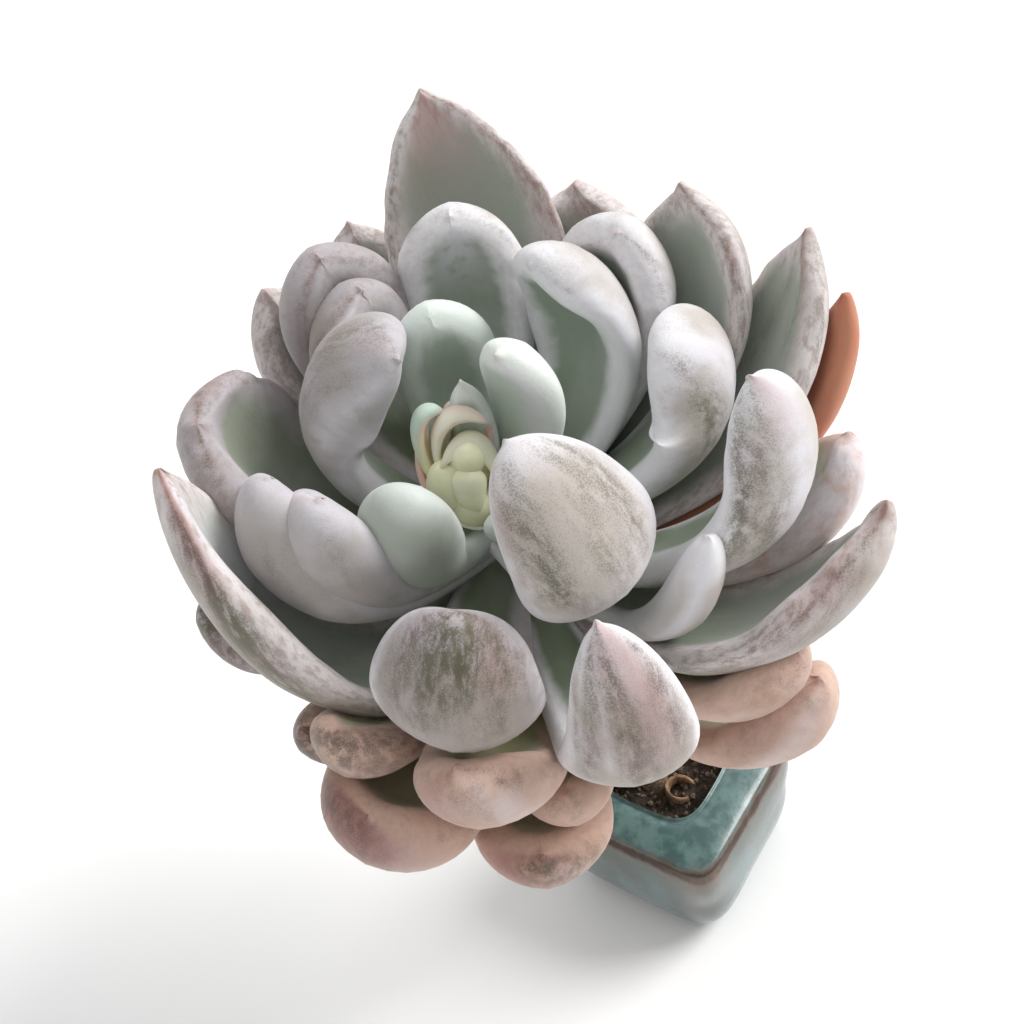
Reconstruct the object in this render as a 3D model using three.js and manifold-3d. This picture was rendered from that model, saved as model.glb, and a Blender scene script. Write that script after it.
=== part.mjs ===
// Succulent in a small square glazed pot: an open rosette of thick spoon-shaped leaves on a leaning stem.
// Millimetres, +Z up. The origin is the centre of the pot's foot, where the pot stands.
import * as THREE from "three";
import { mergeVertices } from "three/addons/utils/BufferGeometryUtils.js";
import Module from "manifold-3d";

const wasm = await Module();
wasm.setup();

// The pot: a square with bulging sides and round corners, thick walls and a broad glazed shoulder
const POT_HEIGHT = 36;
const POT_YAW = 45;
const POT_FOOT = 38;
const POT_BELLY = 51;
const POT_RIDGE = 49.5;
const POT_MOUTH = 27;
const POT_INSIDE_FOOT = 24;
const POT_FLOOR = 6;
const POT_SQUARENESS = 5.5;
const SHOULDER_SQUARENESS = 8;
const RIDGE_SQUARENESS = 9;
const MOUTH_SQUARENESS = 4;
const POT_FACETS = 32;
const DRAIN_RADIUS = 2.5;
const DRAIN_OFFSET = 7;
const SOIL_LEVEL = 30;

// The rosette: the heart is where the youngest leaves meet the stem, and the rosette leans to the front
const HEART = new THREE.Vector3(-24.3, 0, 140);
const ROSETTE_TILT = 17;

// The stem: round, straight inside the rosette, then bending down to its hole in the soil
const STEM_RADIUS = 4.5;
const STEM_ROOT = new THREE.Vector3(-2.5, 1, 14);
const STEM_RISE = new THREE.Vector3(-2.5, 4.5, 46);
const STEM_STRAIGHT = 43;
const STEM_BEND = 62;
const CLEARANCE = 0.3;

// A dry leaf curled up on the soil: its middle, and the radius, thickness and height of the curl
const DRY_LEAF_PLACE = new THREE.Vector3(1.8, -5.8, SOIL_LEVEL + CLEARANCE);
const DRY_LEAF_RADIUS = 4.6;
const DRY_LEAF_THICKNESS = 1.2;
const DRY_LEAF_HEIGHT = 4;

// Facets of each leaf: around its section, and along its midrib
const LEAF_SIDES = 10;
const LEAF_STEPS = 11;

// Each leaf: name, azimuth and sideways swing of its tip in degrees, height of its base on the stem,
// then reach and height of the two bends and of the tip, all from the heart,
// then width, thickness, cup and turn in degrees, how blunt the end is (2 is an ellipse),
// and the group whose colour it takes
const LEAVES = [
  ["leaf_inner_01", 85, 0, -2, 6, 4, 11, 13, 10.5, 29.5, 11, 5, 20, 0, 2.4, "young"],
  ["leaf_inner_02", 36, 4, -3, 13, 2, 21, 24, 11.5, 38.5, 21, 8, 15, 0, 2.4, "young"],
  ["leaf_inner_03", 211, 0, -4, 19, -8, 28, 11, 13.5, 25, 26, 9, 65, 40, 2.4, "inner"],
  ["leaf_inner_04", 93, 0, -5, 21, -6, 36, 15, 25.2, 34, 26, 9, 50, 0, 2.4, "inner"],
  ["leaf_inner_05", 152, -32, -7, 32, -9, 53, 21, 18.5, 35, 34.5, 10, 70, 35, 2.4, "inner"],
  ["leaf_inner_06", 300, 0, -6, 28, 0, 55, 21, 11.5, 36, 38, 9.5, 55, 0, 2.4, "inner"],
  ["leaf_inner_07", 200, -10, -8, 32, -11, 40, 11, 30.5, 28, 30, 9.5, 65, 30, 2.4, "inner"],
  ["leaf_inner_08", 32, 24, -8, 32, -11, 56, 21, 36, 35, 34, 9, 60, -10, 2.4, "inner"],
  ["leaf_middle_01", 81, 0, -11, 36, -13, 62, 15, 50.5, 34, 33.5, 10, 50, 0, 2.4, "middle"],
  ["leaf_middle_02", 359, 10, -9, 32, -11, 63, 13, 37.5, 29, 38.5, 9.5, 48, -35, 2.4, "inner"],
  ["leaf_middle_03", 199, -23, -11, 38, -15, 49.5, 8, 39, 28, 31, 9.5, 65, 30, 2.4, "inner"],
  ["leaf_middle_04", 125, -16, -11, 32, -9, 51, 11, 42, 31, 32, 11, 65, 15, 2.4, "middle"],
  ["leaf_middle_05", 246, 4, -13, 32, -19, 66, -4, 34, 22.5, 40, 9, 55, 0, 3.2, "middle"],
  ["leaf_middle_06", 279.2, 7, -15, 41, -26, 79.5, -21, 44, 22.5, 30.5, 9, 40, -20, 2.15, "middle"],
  ["leaf_middle_07", 311, 9, -11, 24, -18, 46, -30, 47, 19, 20.5, 7.5, 60, -20, 2.4, "inner"],
  ["leaf_middle_08", 41, 0, -14, 39, -15, 65, 15, 51.3, 33, 37, 10, 60, -10, 2.4, "middle"],
  ["leaf_middle_09", 325, 23, -13, 41, -15, 70, 13, 51.5, 35.5, 30, 9.5, 65, -28, 2.4, "middle"],
  ["leaf_middle_10", 158, 2, -16, 39, -19, 62, 6, 54, 29, 51, 9.5, 65, 20, 2.6, "outer"],
  ["leaf_middle_11", 113, 0, -17, 39, -17, 61.5, 13, 51, 35.5, 35, 11, 60, 0, 2.4, "middle"],
  ["leaf_outer_01", 22, 14, -17, 41, -19, 70, 11, 67, 34, 40, 7, 45, 0, 1.8, "outer"],
  ["leaf_outer_02", 75, 8, -21, 43, -23, 71, 4, 79, 42.5, 46, 6.5, 40, 0, 1.8, "outer"],
  ["leaf_outer_03", 5, 10, -21, 45, -23, 71, 4, 75.5, 33, 36, 6.5, 30, -10, 1.6, "outer"],
  ["leaf_outer_04", 213, -38, -21, 41, -39, 60, -18, 57, 35, 40, 7.5, 70, 0, 1.9, "outer"],
  ["leaf_outer_05", 312, 24, -21, 41, -34, 70, -15, 76.5, 12.5, 34, 7.5, 60, -20, 1.5, "outer"],
  ["leaf_outer_06", 122.5, 0, -21, 43, -23, 65, 0, 64, 23, 27, 9, 55, 0, 1.9, "outer"],
  ["leaf_outer_07", 53, 6, -23, 47, -23, 71, 0, 72, 21, 44, 8, 50, 0, 1.9, "outer"],
  ["leaf_outer_08", 339, 12, -23, 45, -26, 70, -8, 72, 8, 25, 8.5, 50, 0, 2.4, "lower"],
  ["leaf_outer_09", 358, 9, -24, 47, -26, 75, -6, 78, 23, 20, 6.5, 50, 0, 1.9, "ember"],
  ["leaf_outer_10", 101, 0, -24, 47, -24, 73, -4, 75, 17, 32, 9, 50, 0, 1.9, "outer"],
  ["leaf_lower_01", 257, -8, -24, 38, -32, 62, -24, 55, -2, 36, 10.5, 60, 0, 2.4, "lower"],
  ["leaf_lower_02", 310, 8, -26, 39, -38, 62, -34, 66, -11.5, 32, 9.5, 60, -15, 2.4, "lower"],
  ["leaf_lower_03", 222, 0, -26, 36, -36, 56, -28, 55.5, -4, 28, 9.5, 60, 15, 2.4, "lower"],
  ["leaf_lower_04", 308, 10, -34, 43, -56, 70, -60, 71.5, -19, 34, 10.5, 65, -20, 2.4, "lower"],
  ["leaf_lower_05", 184, -4, -28, 41, -34, 64, -24, 64, -5.5, 30, 9, 60, 10, 2.4, "lower"],
  ["leaf_lower_06", 230.5, 0, -36, 41, -47, 68, -45, 64, -19, 45, 12, 60, 0, 2.4, "lower"],
  ["leaf_lower_07", 269, 0, -32, 36, -43, 55, -39, 56, -20.5, 24, 9, 60, 0, 2.4, "lower"],
  ["leaf_lower_08", 261, 0, -39, 39, -53, 62, -53, 63.2, -32, 36, 11, 60, 0, 2.4, "lower"],
  ["leaf_lower_09", 211, 0, -34, 38, -41, 56, -34, 58, -13, 23, 7.5, 60, 0, 1.7, "lower"],
  ["leaf_lower_10", 150, 0, -30, 41, -36, 62, -24, 64, -2, 30, 8, 60, 0, 2.4, "lower"],
  ["leaf_lower_11", 108, 0, -32, 41, -38, 64, -28, 67.5, -5.5, 32, 8, 60, 0, 2.4, "lower"],
  ["leaf_lower_12", 70, 0, -34, 41, -39, 64, -30, 66, -7.5, 30, 8, 60, 0, 2.4, "lower"],
  ["leaf_lower_13", 28, 0, -32, 41, -38, 64, -26, 67.5, -4, 32, 8, 60, 0, 2.4, "lower"],
  ["leaf_lower_14", 342, 0, -36, 39, -43, 60, -36, 62, -15, 28, 8, 60, 0, 2.4, "lower"],
];

// The tiny leaves of the heart in the same terms, standing round a small bud
const HEART_LEAVES = [
  ["heart_leaf", 335, 0, -2, 7, 0, 8, 8, 5, 15, 8, 4, 20, 0, 2.4, "young"],
  ["heart_leaf", 60, 0, -2, 7, 0, 9, 8, 7, 17, 8, 4, 20, 0, 2.4, "young"],
  ["heart_leaf", 250, 0, -2, 8, 0, 9, 6, 8, 11, 8, 4, 20, 0, 2.4, "young"],
];
const HEART_MIDDLE = new THREE.Vector3(3, -1, 0);
const HEART_BUD = new THREE.Vector3(4, 4, 4);

// The young flower shoot beside the heart: the bracts that wrap its round bud
const SHOOT_BRACTS = [
  ["bract", 200, 0, -5, 8, 3, 8, 15, 5, 29, 8, 2.5, 45, 0, 2.4, "young"],
  ["bract", 120, 0, -5, 8, 6, 8, 19, 3, 32, 8, 2.5, 45, 0, 2.4, "young"],
  ["bract", 350, 0, -5, 8, 3, 8, 13, 5, 24, 8, 2.5, 45, 0, 2.4, "young"],
  ["bract", 280, 0, -5, 8, 2, 8, 11, 4, 22, 9, 2.5, 45, 0, 2.4, "young"],
];
const SHOOT_FOOT = new THREE.Vector3(-3.5, -1.5, 1);
const SHOOT_MIDDLE = new THREE.Vector3(-4, 1, 15);
const SHOOT_BUD = new THREE.Vector3(5, 4.5, 8.5);

// The leaves' section and end: how full its rims and faces are, how far the facets crowd to the tip,
// how far the tip's point stands out, how much the foot is cupped, how blunt the end of its thickness is,
// and how much thicker it swells there
const RIM_FULLNESS = 0.85;
const FACE_FULLNESS = 0.8;
const TIP_CROWDING = 1.35;
const TIP_POINT = 1.2;
const FOOT_CUP = 0.35;
const BLUNT_END = 2.4;
const END_SWELL = 0.22;
const SMALLEST_FACET = 0.05;

const COLOURS = {
  young: 0xb9c9b4,
  inner: 0xc6cdc6,
  middle: 0xc9c6c6,
  outer: 0xb9aaa5,
  lower: 0xd3aea3,
  ember: 0xe2a084,
  shoot: 0xd5d2a0,
  glaze: 0x6f9c9a,
  soil: 0x3b2c22,
  stem: 0x8f7a5c,
  dry: 0xa07a52,
};

const radians = THREE.MathUtils.degToRad;
const { smoothstep } = THREE.MathUtils;

function finish(colour, roughness = 0.75) {
  return new THREE.MeshStandardMaterial({ color: COLOURS[colour], roughness, metalness: 0 });
}

// A geometry with only its places, its shared vertices merged
function bare(geometry) {
  const copy = geometry.clone();
  for (const name of Object.keys(copy.attributes)) {
    if (name !== "position") copy.deleteAttribute(name);
  }
  return mergeVertices(copy, 1e-3);
}

function solid(geometry) {
  const merged = bare(geometry);
  const vertProperties = Float32Array.from(merged.attributes.position.array);
  const triVerts = Uint32Array.from(merged.index.array);
  return new wasm.Manifold(new wasm.Mesh({ numProp: 3, vertProperties, triVerts }));
}

function geometryOf(body) {
  const mesh = body.getMesh();
  const geometry = new THREE.BufferGeometry();
  geometry.setAttribute("position", new THREE.BufferAttribute(mesh.vertProperties, 3));
  geometry.setIndex(new THREE.BufferAttribute(mesh.triVerts, 1));
  return geometry;
}

// The largest piece that the cuts leave, without the tiny facets along their edges
function largest(body) {
  const pieces = body.simplify(SMALLEST_FACET).decompose();
  return pieces.reduce((best, piece) => (piece.volume() > best.volume() ? piece : best));
}

function cut(body, others) {
  return others.reduce((left, other) => left.subtract(other), body);
}

function joined(bodies) {
  return bodies.reduce((all, body) => all.add(body));
}

function add(group, name, geometry, material) {
  const mesh = new THREE.Mesh(geometry, material);
  mesh.name = name;
  group.add(mesh);
}

// A ball drawn out along a path: place(along, around) puts each of its points
function drawnOut(sides, steps, place) {
  const geometry = new THREE.SphereGeometry(1, sides, steps);
  const position = geometry.attributes.position;
  for (let i = 0; i < position.count; i += 1) {
    const along = Math.floor(i / (sides + 1)) / steps;
    const around = (-2 * Math.PI * (i % (sides + 1))) / sides;
    const point = place(along, around);
    position.setXYZ(i, point.x, point.y, point.z);
  }
  return bare(geometry);
}

// Width of a spoon along its length: a narrow foot, widest past the middle, and a round end
function spoonWidth(along, end) {
  const foot = 0.4;
  const widest = 0.66;
  if (along < widest) return foot + (1 - foot) * smoothstep(along, -0.05, widest);
  return Math.pow(1 - Math.pow((along - widest) / (1 - widest), end), 1 / end);
}

// Thickness of a spoon along its length: thinner at the foot, and swelling towards its round end
function spoonThickness(along) {
  const foot = 0.7;
  const thickest = 0.76;
  const fat = foot + (1 - foot) * smoothstep(along, 0, 0.5) + END_SWELL * smoothstep(along, 0.4, 0.85);
  if (along < thickest) return fat;
  return fat * Math.pow(1 - Math.pow((along - thickest) / (1 - thickest), BLUNT_END), 1 / BLUNT_END);
}

// Moves a sine or cosine towards 1 or -1, so that an oval gets fuller
function fuller(wave, fullness) {
  return Math.sign(wave) * Math.pow(Math.abs(wave), fullness);
}

// One leaf: a midrib in the upright plane of its azimuth, with a cupped spoon section drawn along it
function leafGeometry(leaf, swell) {
  const [, azimuth, swing, base, r1, h1, r2, h2, r3, h3, width, thickness, cup, turn, end] = leaf;
  const bends = [[1, base], [r1, h1], [r2, h2], [r3, h3]].map(([r, h]) => new THREE.Vector2(r, h));
  const midrib = new THREE.CubicBezierCurve(...bends);
  const angleAt = (t) => radians(azimuth + swing * t * t);
  const centreAt = (t) => {
    const p = midrib.getPoint(t);
    return new THREE.Vector3(p.x * Math.cos(angleAt(t)), p.x * Math.sin(angleAt(t)), p.y);
  };
  return drawnOut(LEAF_SIDES, LEAF_STEPS, (even, around) => {
    const along = 1 - Math.pow(1 - even, TIP_CROWDING);
    const before = centreAt(Math.max(along - 0.01, 0));
    const ahead = centreAt(Math.min(along + 0.01, 1)).sub(before).normalize();
    const side = new THREE.Vector3(-Math.sin(angleAt(along)), Math.cos(angleAt(along)), 0);
    side.addScaledVector(ahead, -side.dot(ahead)).normalize().applyAxisAngle(ahead, radians(turn));
    const face = ahead.clone().cross(side);
    const point = centreAt(along);
    if (even === 0) return point;
    if (even === 1) return point.addScaledVector(ahead, TIP_POINT);
    const across = fuller(Math.cos(around), RIM_FULLNESS);
    const through = fuller(Math.sin(around), FACE_FULLNESS);
    const rim = spoonThickness(along) * thickness * 0.5 + swell;
    const half = Math.max(spoonWidth(along, end) * width * 0.5 - thickness * 0.2 + swell, rim * 0.5);
    const bend = radians(cup) * Math.min(1, FOOT_CUP + along);
    const lean = bend * across;
    point.addScaledVector(side, (half / bend - through * rim) * Math.sin(lean));
    return point.addScaledVector(face, (half / bend) * (1 - Math.cos(lean)) + Math.cos(lean) * through * rim);
  });
}

// The pot's square: a turned profile of [side, height, squareness], pushed out to a rounded square
function squared(profile) {
  const points = profile.map(([side, z]) => new THREE.Vector2(side / 2, z));
  const geometry = new THREE.LatheGeometry(points, POT_FACETS);
  geometry.rotateX(Math.PI / 2);
  const position = geometry.attributes.position;
  for (let i = 0; i < position.count; i += 1) {
    const squareness = profile[i % profile.length][2];
    const angle = Math.atan2(position.getY(i), position.getX(i));
    const c = Math.pow(Math.abs(Math.cos(angle)), squareness);
    const s = Math.pow(Math.abs(Math.sin(angle)), squareness);
    const out = Math.pow(c + s, -1 / squareness);
    position.setXY(i, position.getX(i) * out, position.getY(i) * out);
  }
  return bare(geometry);
}

const plant = new THREE.Group();
const pot = new THREE.Group();
pot.rotation.z = radians(POT_YAW);
pot.updateMatrix();
plant.add(pot);
const rosette = new THREE.Group();
rosette.position.copy(HEART);
rosette.rotation.x = radians(ROSETTE_TILT);
rosette.updateMatrix();
plant.add(rosette);

// Moves a solid of the whole plant into a group's own frame
function inFrameOf(group, body) {
  return body.transform(group.matrix.clone().invert().toArray());
}

// The stem, swelled by the clearance for its hole in the soil and for the leaves' feet
function stemSolid(swell) {
  const onAxis = (h) => new THREE.Vector3(0, 0, h).applyMatrix4(rosette.matrix);
  const knee = onAxis(-STEM_STRAIGHT);
  const path = new THREE.CurvePath();
  path.add(new THREE.CubicBezierCurve3(STEM_ROOT, STEM_RISE, onAxis(-STEM_BEND), knee));
  path.add(new THREE.LineCurve3(knee, onAxis(-4)));
  const geometry = drawnOut(12, 20, (along, around) => {
    const point = path.getPointAt(along);
    if (along === 0 || along === 1) return point;
    const ahead = path.getTangentAt(along);
    const side = new THREE.Vector3(1, 0, 0);
    side.addScaledVector(ahead, -side.dot(ahead)).normalize();
    const face = ahead.clone().cross(side);
    const radius = STEM_RADIUS * (1.1 - 0.25 * along) + swell;
    point.addScaledVector(side, radius * Math.cos(around));
    return point.addScaledVector(face, radius * Math.sin(around));
  });
  return solid(geometry);
}

const potProfile = [
  [0, 0, POT_SQUARENESS],
  [POT_FOOT, 0, POT_SQUARENESS],
  [POT_FOOT + 3, 1.2, POT_SQUARENESS],
  [POT_BELLY - 3, 6.5, POT_SQUARENESS],
  [POT_BELLY - 0.4, 12, POT_SQUARENESS],
  [POT_BELLY, 18, POT_SQUARENESS],
  [POT_BELLY, 26, SHOULDER_SQUARENESS],
  [POT_RIDGE, POT_HEIGHT - 4.5, RIDGE_SQUARENESS],
  [POT_RIDGE - 0.8, POT_HEIGHT - 3, RIDGE_SQUARENESS],
  [POT_RIDGE - 3, POT_HEIGHT - 1.6, POT_SQUARENESS],
  [POT_MOUTH + 8, POT_HEIGHT, MOUTH_SQUARENESS],
  [POT_MOUTH + 2, POT_HEIGHT - 0.5, MOUTH_SQUARENESS],
  [POT_MOUTH, POT_HEIGHT - 2, MOUTH_SQUARENESS],
  [POT_INSIDE_FOOT, POT_FLOOR, MOUTH_SQUARENESS],
  [0, POT_FLOOR, MOUTH_SQUARENESS],
];
const drains = [45, 135, 225, 315].map((angle) => {
  const hole = new THREE.CylinderGeometry(DRAIN_RADIUS, DRAIN_RADIUS, 4 * POT_FLOOR, 12);
  hole.rotateX(Math.PI / 2);
  hole.translate(DRAIN_OFFSET * Math.cos(radians(angle)), DRAIN_OFFSET * Math.sin(radians(angle)), 0);
  return solid(hole);
});
add(pot, "pot", geometryOf(cut(solid(squared(potProfile)), drains)), finish("glaze", 0.3));

// The soil fills the pot to a little under its mouth, with a plain hole for the stem
function soilSide(z) {
  const rise = (z - POT_FLOOR) / (POT_HEIGHT - 2 - POT_FLOOR);
  return POT_INSIDE_FOOT + (POT_MOUTH - POT_INSIDE_FOOT) * rise - 2 * CLEARANCE;
}
const soilProfile = [
  [0, POT_FLOOR + CLEARANCE, MOUTH_SQUARENESS],
  [soilSide(POT_FLOOR), POT_FLOOR + CLEARANCE, MOUTH_SQUARENESS],
  [soilSide(SOIL_LEVEL - 1), SOIL_LEVEL - 1, MOUTH_SQUARENESS],
  [soilSide(SOIL_LEVEL) - 2, SOIL_LEVEL, MOUTH_SQUARENESS],
  [0, SOIL_LEVEL, MOUTH_SQUARENESS],
];
const stemHole = inFrameOf(pot, stemSolid(CLEARANCE));
add(pot, "soil", geometryOf(solid(squared(soilProfile)).subtract(stemHole)), finish("soil", 0.95));
add(plant, "stem", geometryOf(stemSolid(0)), finish("stem", 0.85));

// The dry leaf: a curled strip standing on its edge
const curl = new THREE.Shape();
curl.absarc(0, 0, DRY_LEAF_RADIUS, radians(20), radians(300), false);
curl.absarc(0, 0, DRY_LEAF_RADIUS - DRY_LEAF_THICKNESS, radians(300), radians(20), true);
const dryLeaf = new THREE.ExtrudeGeometry(curl, {
  depth: DRY_LEAF_HEIGHT,
  bevelEnabled: false,
  curveSegments: 12,
});
dryLeaf.translate(DRY_LEAF_PLACE.x, DRY_LEAF_PLACE.y, DRY_LEAF_PLACE.z);
add(plant, "dry_leaf", geometryOf(solid(dryLeaf)), finish("dry", 0.9));

// Every piece of the rosette keeps clear of the stem and of the younger pieces
const cutters = [inFrameOf(rosette, stemSolid(CLEARANCE))];

// Adds the body made by shape(swell), and keeps a swelled one to cut the pieces after it
function seat(name, colour, shape) {
  add(rosette, name, geometryOf(largest(cut(shape(0), cutters))), finish(colour));
  cutters.push(shape(CLEARANCE));
}

// Small leaves standing round a bud, fused into one body
function cluster(leaves, foot, middle, bud, swell) {
  const ball = new THREE.SphereGeometry(1, 12, 8);
  ball.rotateX(Math.PI / 2);
  ball.scale(bud.x + swell, bud.y + swell, bud.z + swell);
  ball.translate(middle.x, middle.y, middle.z);
  const bodies = leaves.map((leaf) => solid(leafGeometry(leaf, swell)).translate(foot.toArray()));
  return joined([solid(ball), ...bodies]);
}

seat("young_shoot", "shoot", (swell) => cluster(SHOOT_BRACTS, SHOOT_FOOT, SHOOT_MIDDLE, SHOOT_BUD, swell));
seat("heart", "young", (swell) => cluster(HEART_LEAVES, HEART_MIDDLE, HEART_MIDDLE, HEART_BUD, swell));
for (const leaf of LEAVES) {
  seat(leaf[0], leaf.at(-1), (swell) => solid(leafGeometry(leaf, swell)));
}

export default plant;
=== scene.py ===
"""A succulent in a small square glazed pot: a rosette of thick, bloomed leaves on a leaning stem."""

import math
import random
from collections import namedtuple

import bmesh
import bpy
from mathutils import Matrix, Vector, noise


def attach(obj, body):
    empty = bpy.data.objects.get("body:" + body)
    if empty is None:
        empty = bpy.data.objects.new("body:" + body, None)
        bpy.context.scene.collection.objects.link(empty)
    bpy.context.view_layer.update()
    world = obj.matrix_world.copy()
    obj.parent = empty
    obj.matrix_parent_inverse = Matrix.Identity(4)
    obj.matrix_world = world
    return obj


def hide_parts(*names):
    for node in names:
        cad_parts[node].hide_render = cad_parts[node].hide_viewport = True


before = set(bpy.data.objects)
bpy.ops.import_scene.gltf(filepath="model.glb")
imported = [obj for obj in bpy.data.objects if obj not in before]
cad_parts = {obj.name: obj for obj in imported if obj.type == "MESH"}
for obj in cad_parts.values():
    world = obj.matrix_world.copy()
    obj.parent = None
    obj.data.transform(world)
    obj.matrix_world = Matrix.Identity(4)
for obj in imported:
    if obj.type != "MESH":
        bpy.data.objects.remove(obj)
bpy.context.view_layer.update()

MM = 0.001

# The camera looks to the back and down at the rosette, and is rolled, so that the pot stands
# to the lower right: tilt and roll in degrees, lens and sensor in mm
CAMERA_PLACE = Vector((-20.81, -181.78, 295.95)) * MM
CAMERA_DOWN = 41
CAMERA_ROLL = -16
CAMERA_LENS = 40.43
CAMERA_SENSOR = 36

# The pot's sizes in mm, as its solid has them, and how square its outlines are (2 is round)
POT_HEIGHT = 36
POT_YAW = 45
POT_FOOT = 38
POT_BELLY = 51
POT_RIDGE = 49.5
POT_MOUTH = 27
POT_INSIDE_FOOT = 24
POT_FLOOR = 6
POT_SQUARENESS = 5.5
RIDGE_SQUARENESS = 9
MOUTH_SQUARENESS = 4
SOIL_LEVEL = 30

# The heart is where the youngest leaves grow. The stem's last bend, the start of its straight stretch
# and its top are given as depths below it.
HEART = Vector((-24.3, 0, 140))
ROSETTE_TILT = 17
STEM_RADIUS = 4.5
STEM_ROOT = Vector((-2.5, 1, 14))
STEM_RISE = Vector((-2.5, 4.5, 46))
STEM_BEND = 62
STEM_STRAIGHT = 43
STEM_TOP = 4

# The leaves, ring by ring. Each row: number, azimuth and sideways swing of its tip in degrees, height of
# its base on the stem, reach and height of the two bends and of the tip from the heart, then width,
# thickness and cup in degrees. Where they aren't the usual ones, its turn in degrees, how blunt its end is
# and the group that it looks like follow.
LEAF_FIELDS = "name azimuth swing base r1 h1 r2 h2 r3 h3 width thickness cup turn end group"
Leaf = namedtuple("Leaf", LEAF_FIELDS, defaults=(0, 2.4, None))
RINGS = {"inner": [
    (1, 85, 0, -2, 6, 4, 11, 13, 10.5, 29.5, 11, 5, 20, 0, 2.4, "young"),
    (2, 36, 4, -3, 13, 2, 21, 24, 11.5, 38.5, 21, 8, 15, 0, 2.4, "young"),
    (3, 211, 0, -4, 19, -8, 28, 11, 13.5, 25, 26, 9, 65, 40),
    (4, 93, 0, -5, 21, -6, 36, 15, 25.2, 34, 26, 9, 50),
    (5, 152, -32, -7, 32, -9, 53, 21, 18.5, 35, 34.5, 10, 70, 35),
    (6, 300, 0, -6, 28, 0, 55, 21, 11.5, 36, 38, 9.5, 55),
    (7, 200, -10, -8, 32, -11, 40, 11, 30.5, 28, 30, 9.5, 65, 30),
    (8, 32, 24, -8, 32, -11, 56, 21, 36, 35, 34, 9, 60, -10),
], "middle": [
    (1, 81, 0, -11, 36, -13, 62, 15, 50.5, 34, 33.5, 10, 50),
    (2, 359, 10, -9, 32, -11, 63, 13, 37.5, 29, 38.5, 9.5, 48, -35, 2.4, "inner"),
    (3, 199, -23, -11, 38, -15, 49.5, 8, 39, 28, 31, 9.5, 65, 30, 2.4, "inner"),
    (4, 125, -16, -11, 32, -9, 51, 11, 42, 31, 32, 11, 65, 15),
    (5, 246, 4, -13, 32, -19, 66, -4, 34, 22.5, 40, 9, 55, 0, 3.2),
    (6, 279.2, 7, -15, 41, -26, 79.5, -21, 44, 22.5, 30.5, 9, 40, -20, 2.15),
    (7, 311, 9, -11, 24, -18, 46, -30, 47, 19, 20.5, 7.5, 60, -20, 2.4, "inner"),
    (8, 41, 0, -14, 39, -15, 65, 15, 51.3, 33, 37, 10, 60, -10),
    (9, 325, 23, -13, 41, -15, 70, 13, 51.5, 35.5, 30, 9.5, 65, -28),
    (10, 158, 2, -16, 39, -19, 62, 6, 54, 29, 51, 9.5, 65, 20, 2.6, "outer"),
    (11, 113, 0, -17, 39, -17, 61.5, 13, 51, 35.5, 35, 11, 60),
], "outer": [
    (1, 22, 14, -17, 41, -19, 70, 11, 67, 34, 40, 7, 45, 0, 1.8),
    (2, 75, 8, -21, 43, -23, 71, 4, 79, 42.5, 46, 6.5, 40, 0, 1.8),
    (3, 5, 10, -21, 45, -23, 71, 4, 75.5, 33, 36, 6.5, 30, -10, 1.6),
    (4, 213, -38, -21, 41, -39, 60, -18, 57, 35, 40, 7.5, 70, 0, 1.9),
    (5, 312, 24, -21, 41, -34, 70, -15, 76.5, 12.5, 34, 7.5, 60, -20, 1.5),
    (6, 122.5, 0, -21, 43, -23, 65, 0, 64, 23, 27, 9, 55, 0, 1.9),
    (7, 53, 6, -23, 47, -23, 71, 0, 72, 21, 44, 8, 50, 0, 1.9),
    (8, 339, 12, -23, 45, -26, 70, -8, 72, 8, 25, 8.5, 50, 0, 2.4, "lower"),
    (9, 358, 9, -24, 47, -26, 75, -6, 78, 23, 20, 6.5, 50, 0, 1.9, "ember"),
    (10, 101, 0, -24, 47, -24, 73, -4, 75, 17, 32, 9, 50, 0, 1.9),
], "lower": [
    (1, 257, -8, -24, 38, -32, 62, -24, 55, -2, 36, 10.5, 60),
    (2, 310, 8, -26, 39, -38, 62, -34, 66, -11.5, 32, 9.5, 60, -15),
    (3, 222, 0, -26, 36, -36, 56, -28, 55.5, -4, 28, 9.5, 60, 15),
    (4, 308, 10, -34, 43, -56, 70, -60, 71.5, -19, 34, 10.5, 65, -20),
    (5, 184, -4, -28, 41, -34, 64, -24, 64, -5.5, 30, 9, 60, 10),
    (6, 230.5, 0, -36, 41, -47, 68, -45, 64, -19, 45, 12, 60),
    (7, 269, 0, -32, 36, -43, 55, -39, 56, -20.5, 24, 9, 60),
    (8, 261, 0, -39, 39, -53, 62, -53, 63.2, -32, 36, 11, 60),
    (9, 211, 0, -34, 38, -41, 56, -34, 58, -13, 23, 7.5, 60, 0, 1.7),
    (10, 150, 0, -30, 41, -36, 62, -24, 64, -2, 30, 8, 60),
    (11, 108, 0, -32, 41, -38, 64, -28, 67.5, -5.5, 32, 8, 60),
    (12, 70, 0, -34, 41, -39, 64, -30, 66, -7.5, 30, 8, 60),
    (13, 28, 0, -32, 41, -38, 64, -26, 67.5, -4, 32, 8, 60),
    (14, 342, 0, -36, 39, -43, 60, -36, 62, -15, 28, 8, 60),
]}
LEAVES = []
for ring, rows in RINGS.items():
    for number, *sizes in rows:
        leaf = Leaf(f"leaf_{ring}_{number:02}", *sizes)
        LEAVES.append(leaf._replace(group=leaf.group or ring))


def clamp(value, low=0.0, high=1.0):
    return max(low, min(high, value))


def smooth(value, low, high):
    t = clamp((value - low) / (high - low))
    return t * t * (3 - 2 * t)


def fuller(wave, fullness):
    """A sine or cosine with a fuller swell, for sections that are rounder than an ellipse."""
    return math.copysign(abs(wave) ** fullness, wave)


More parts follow.
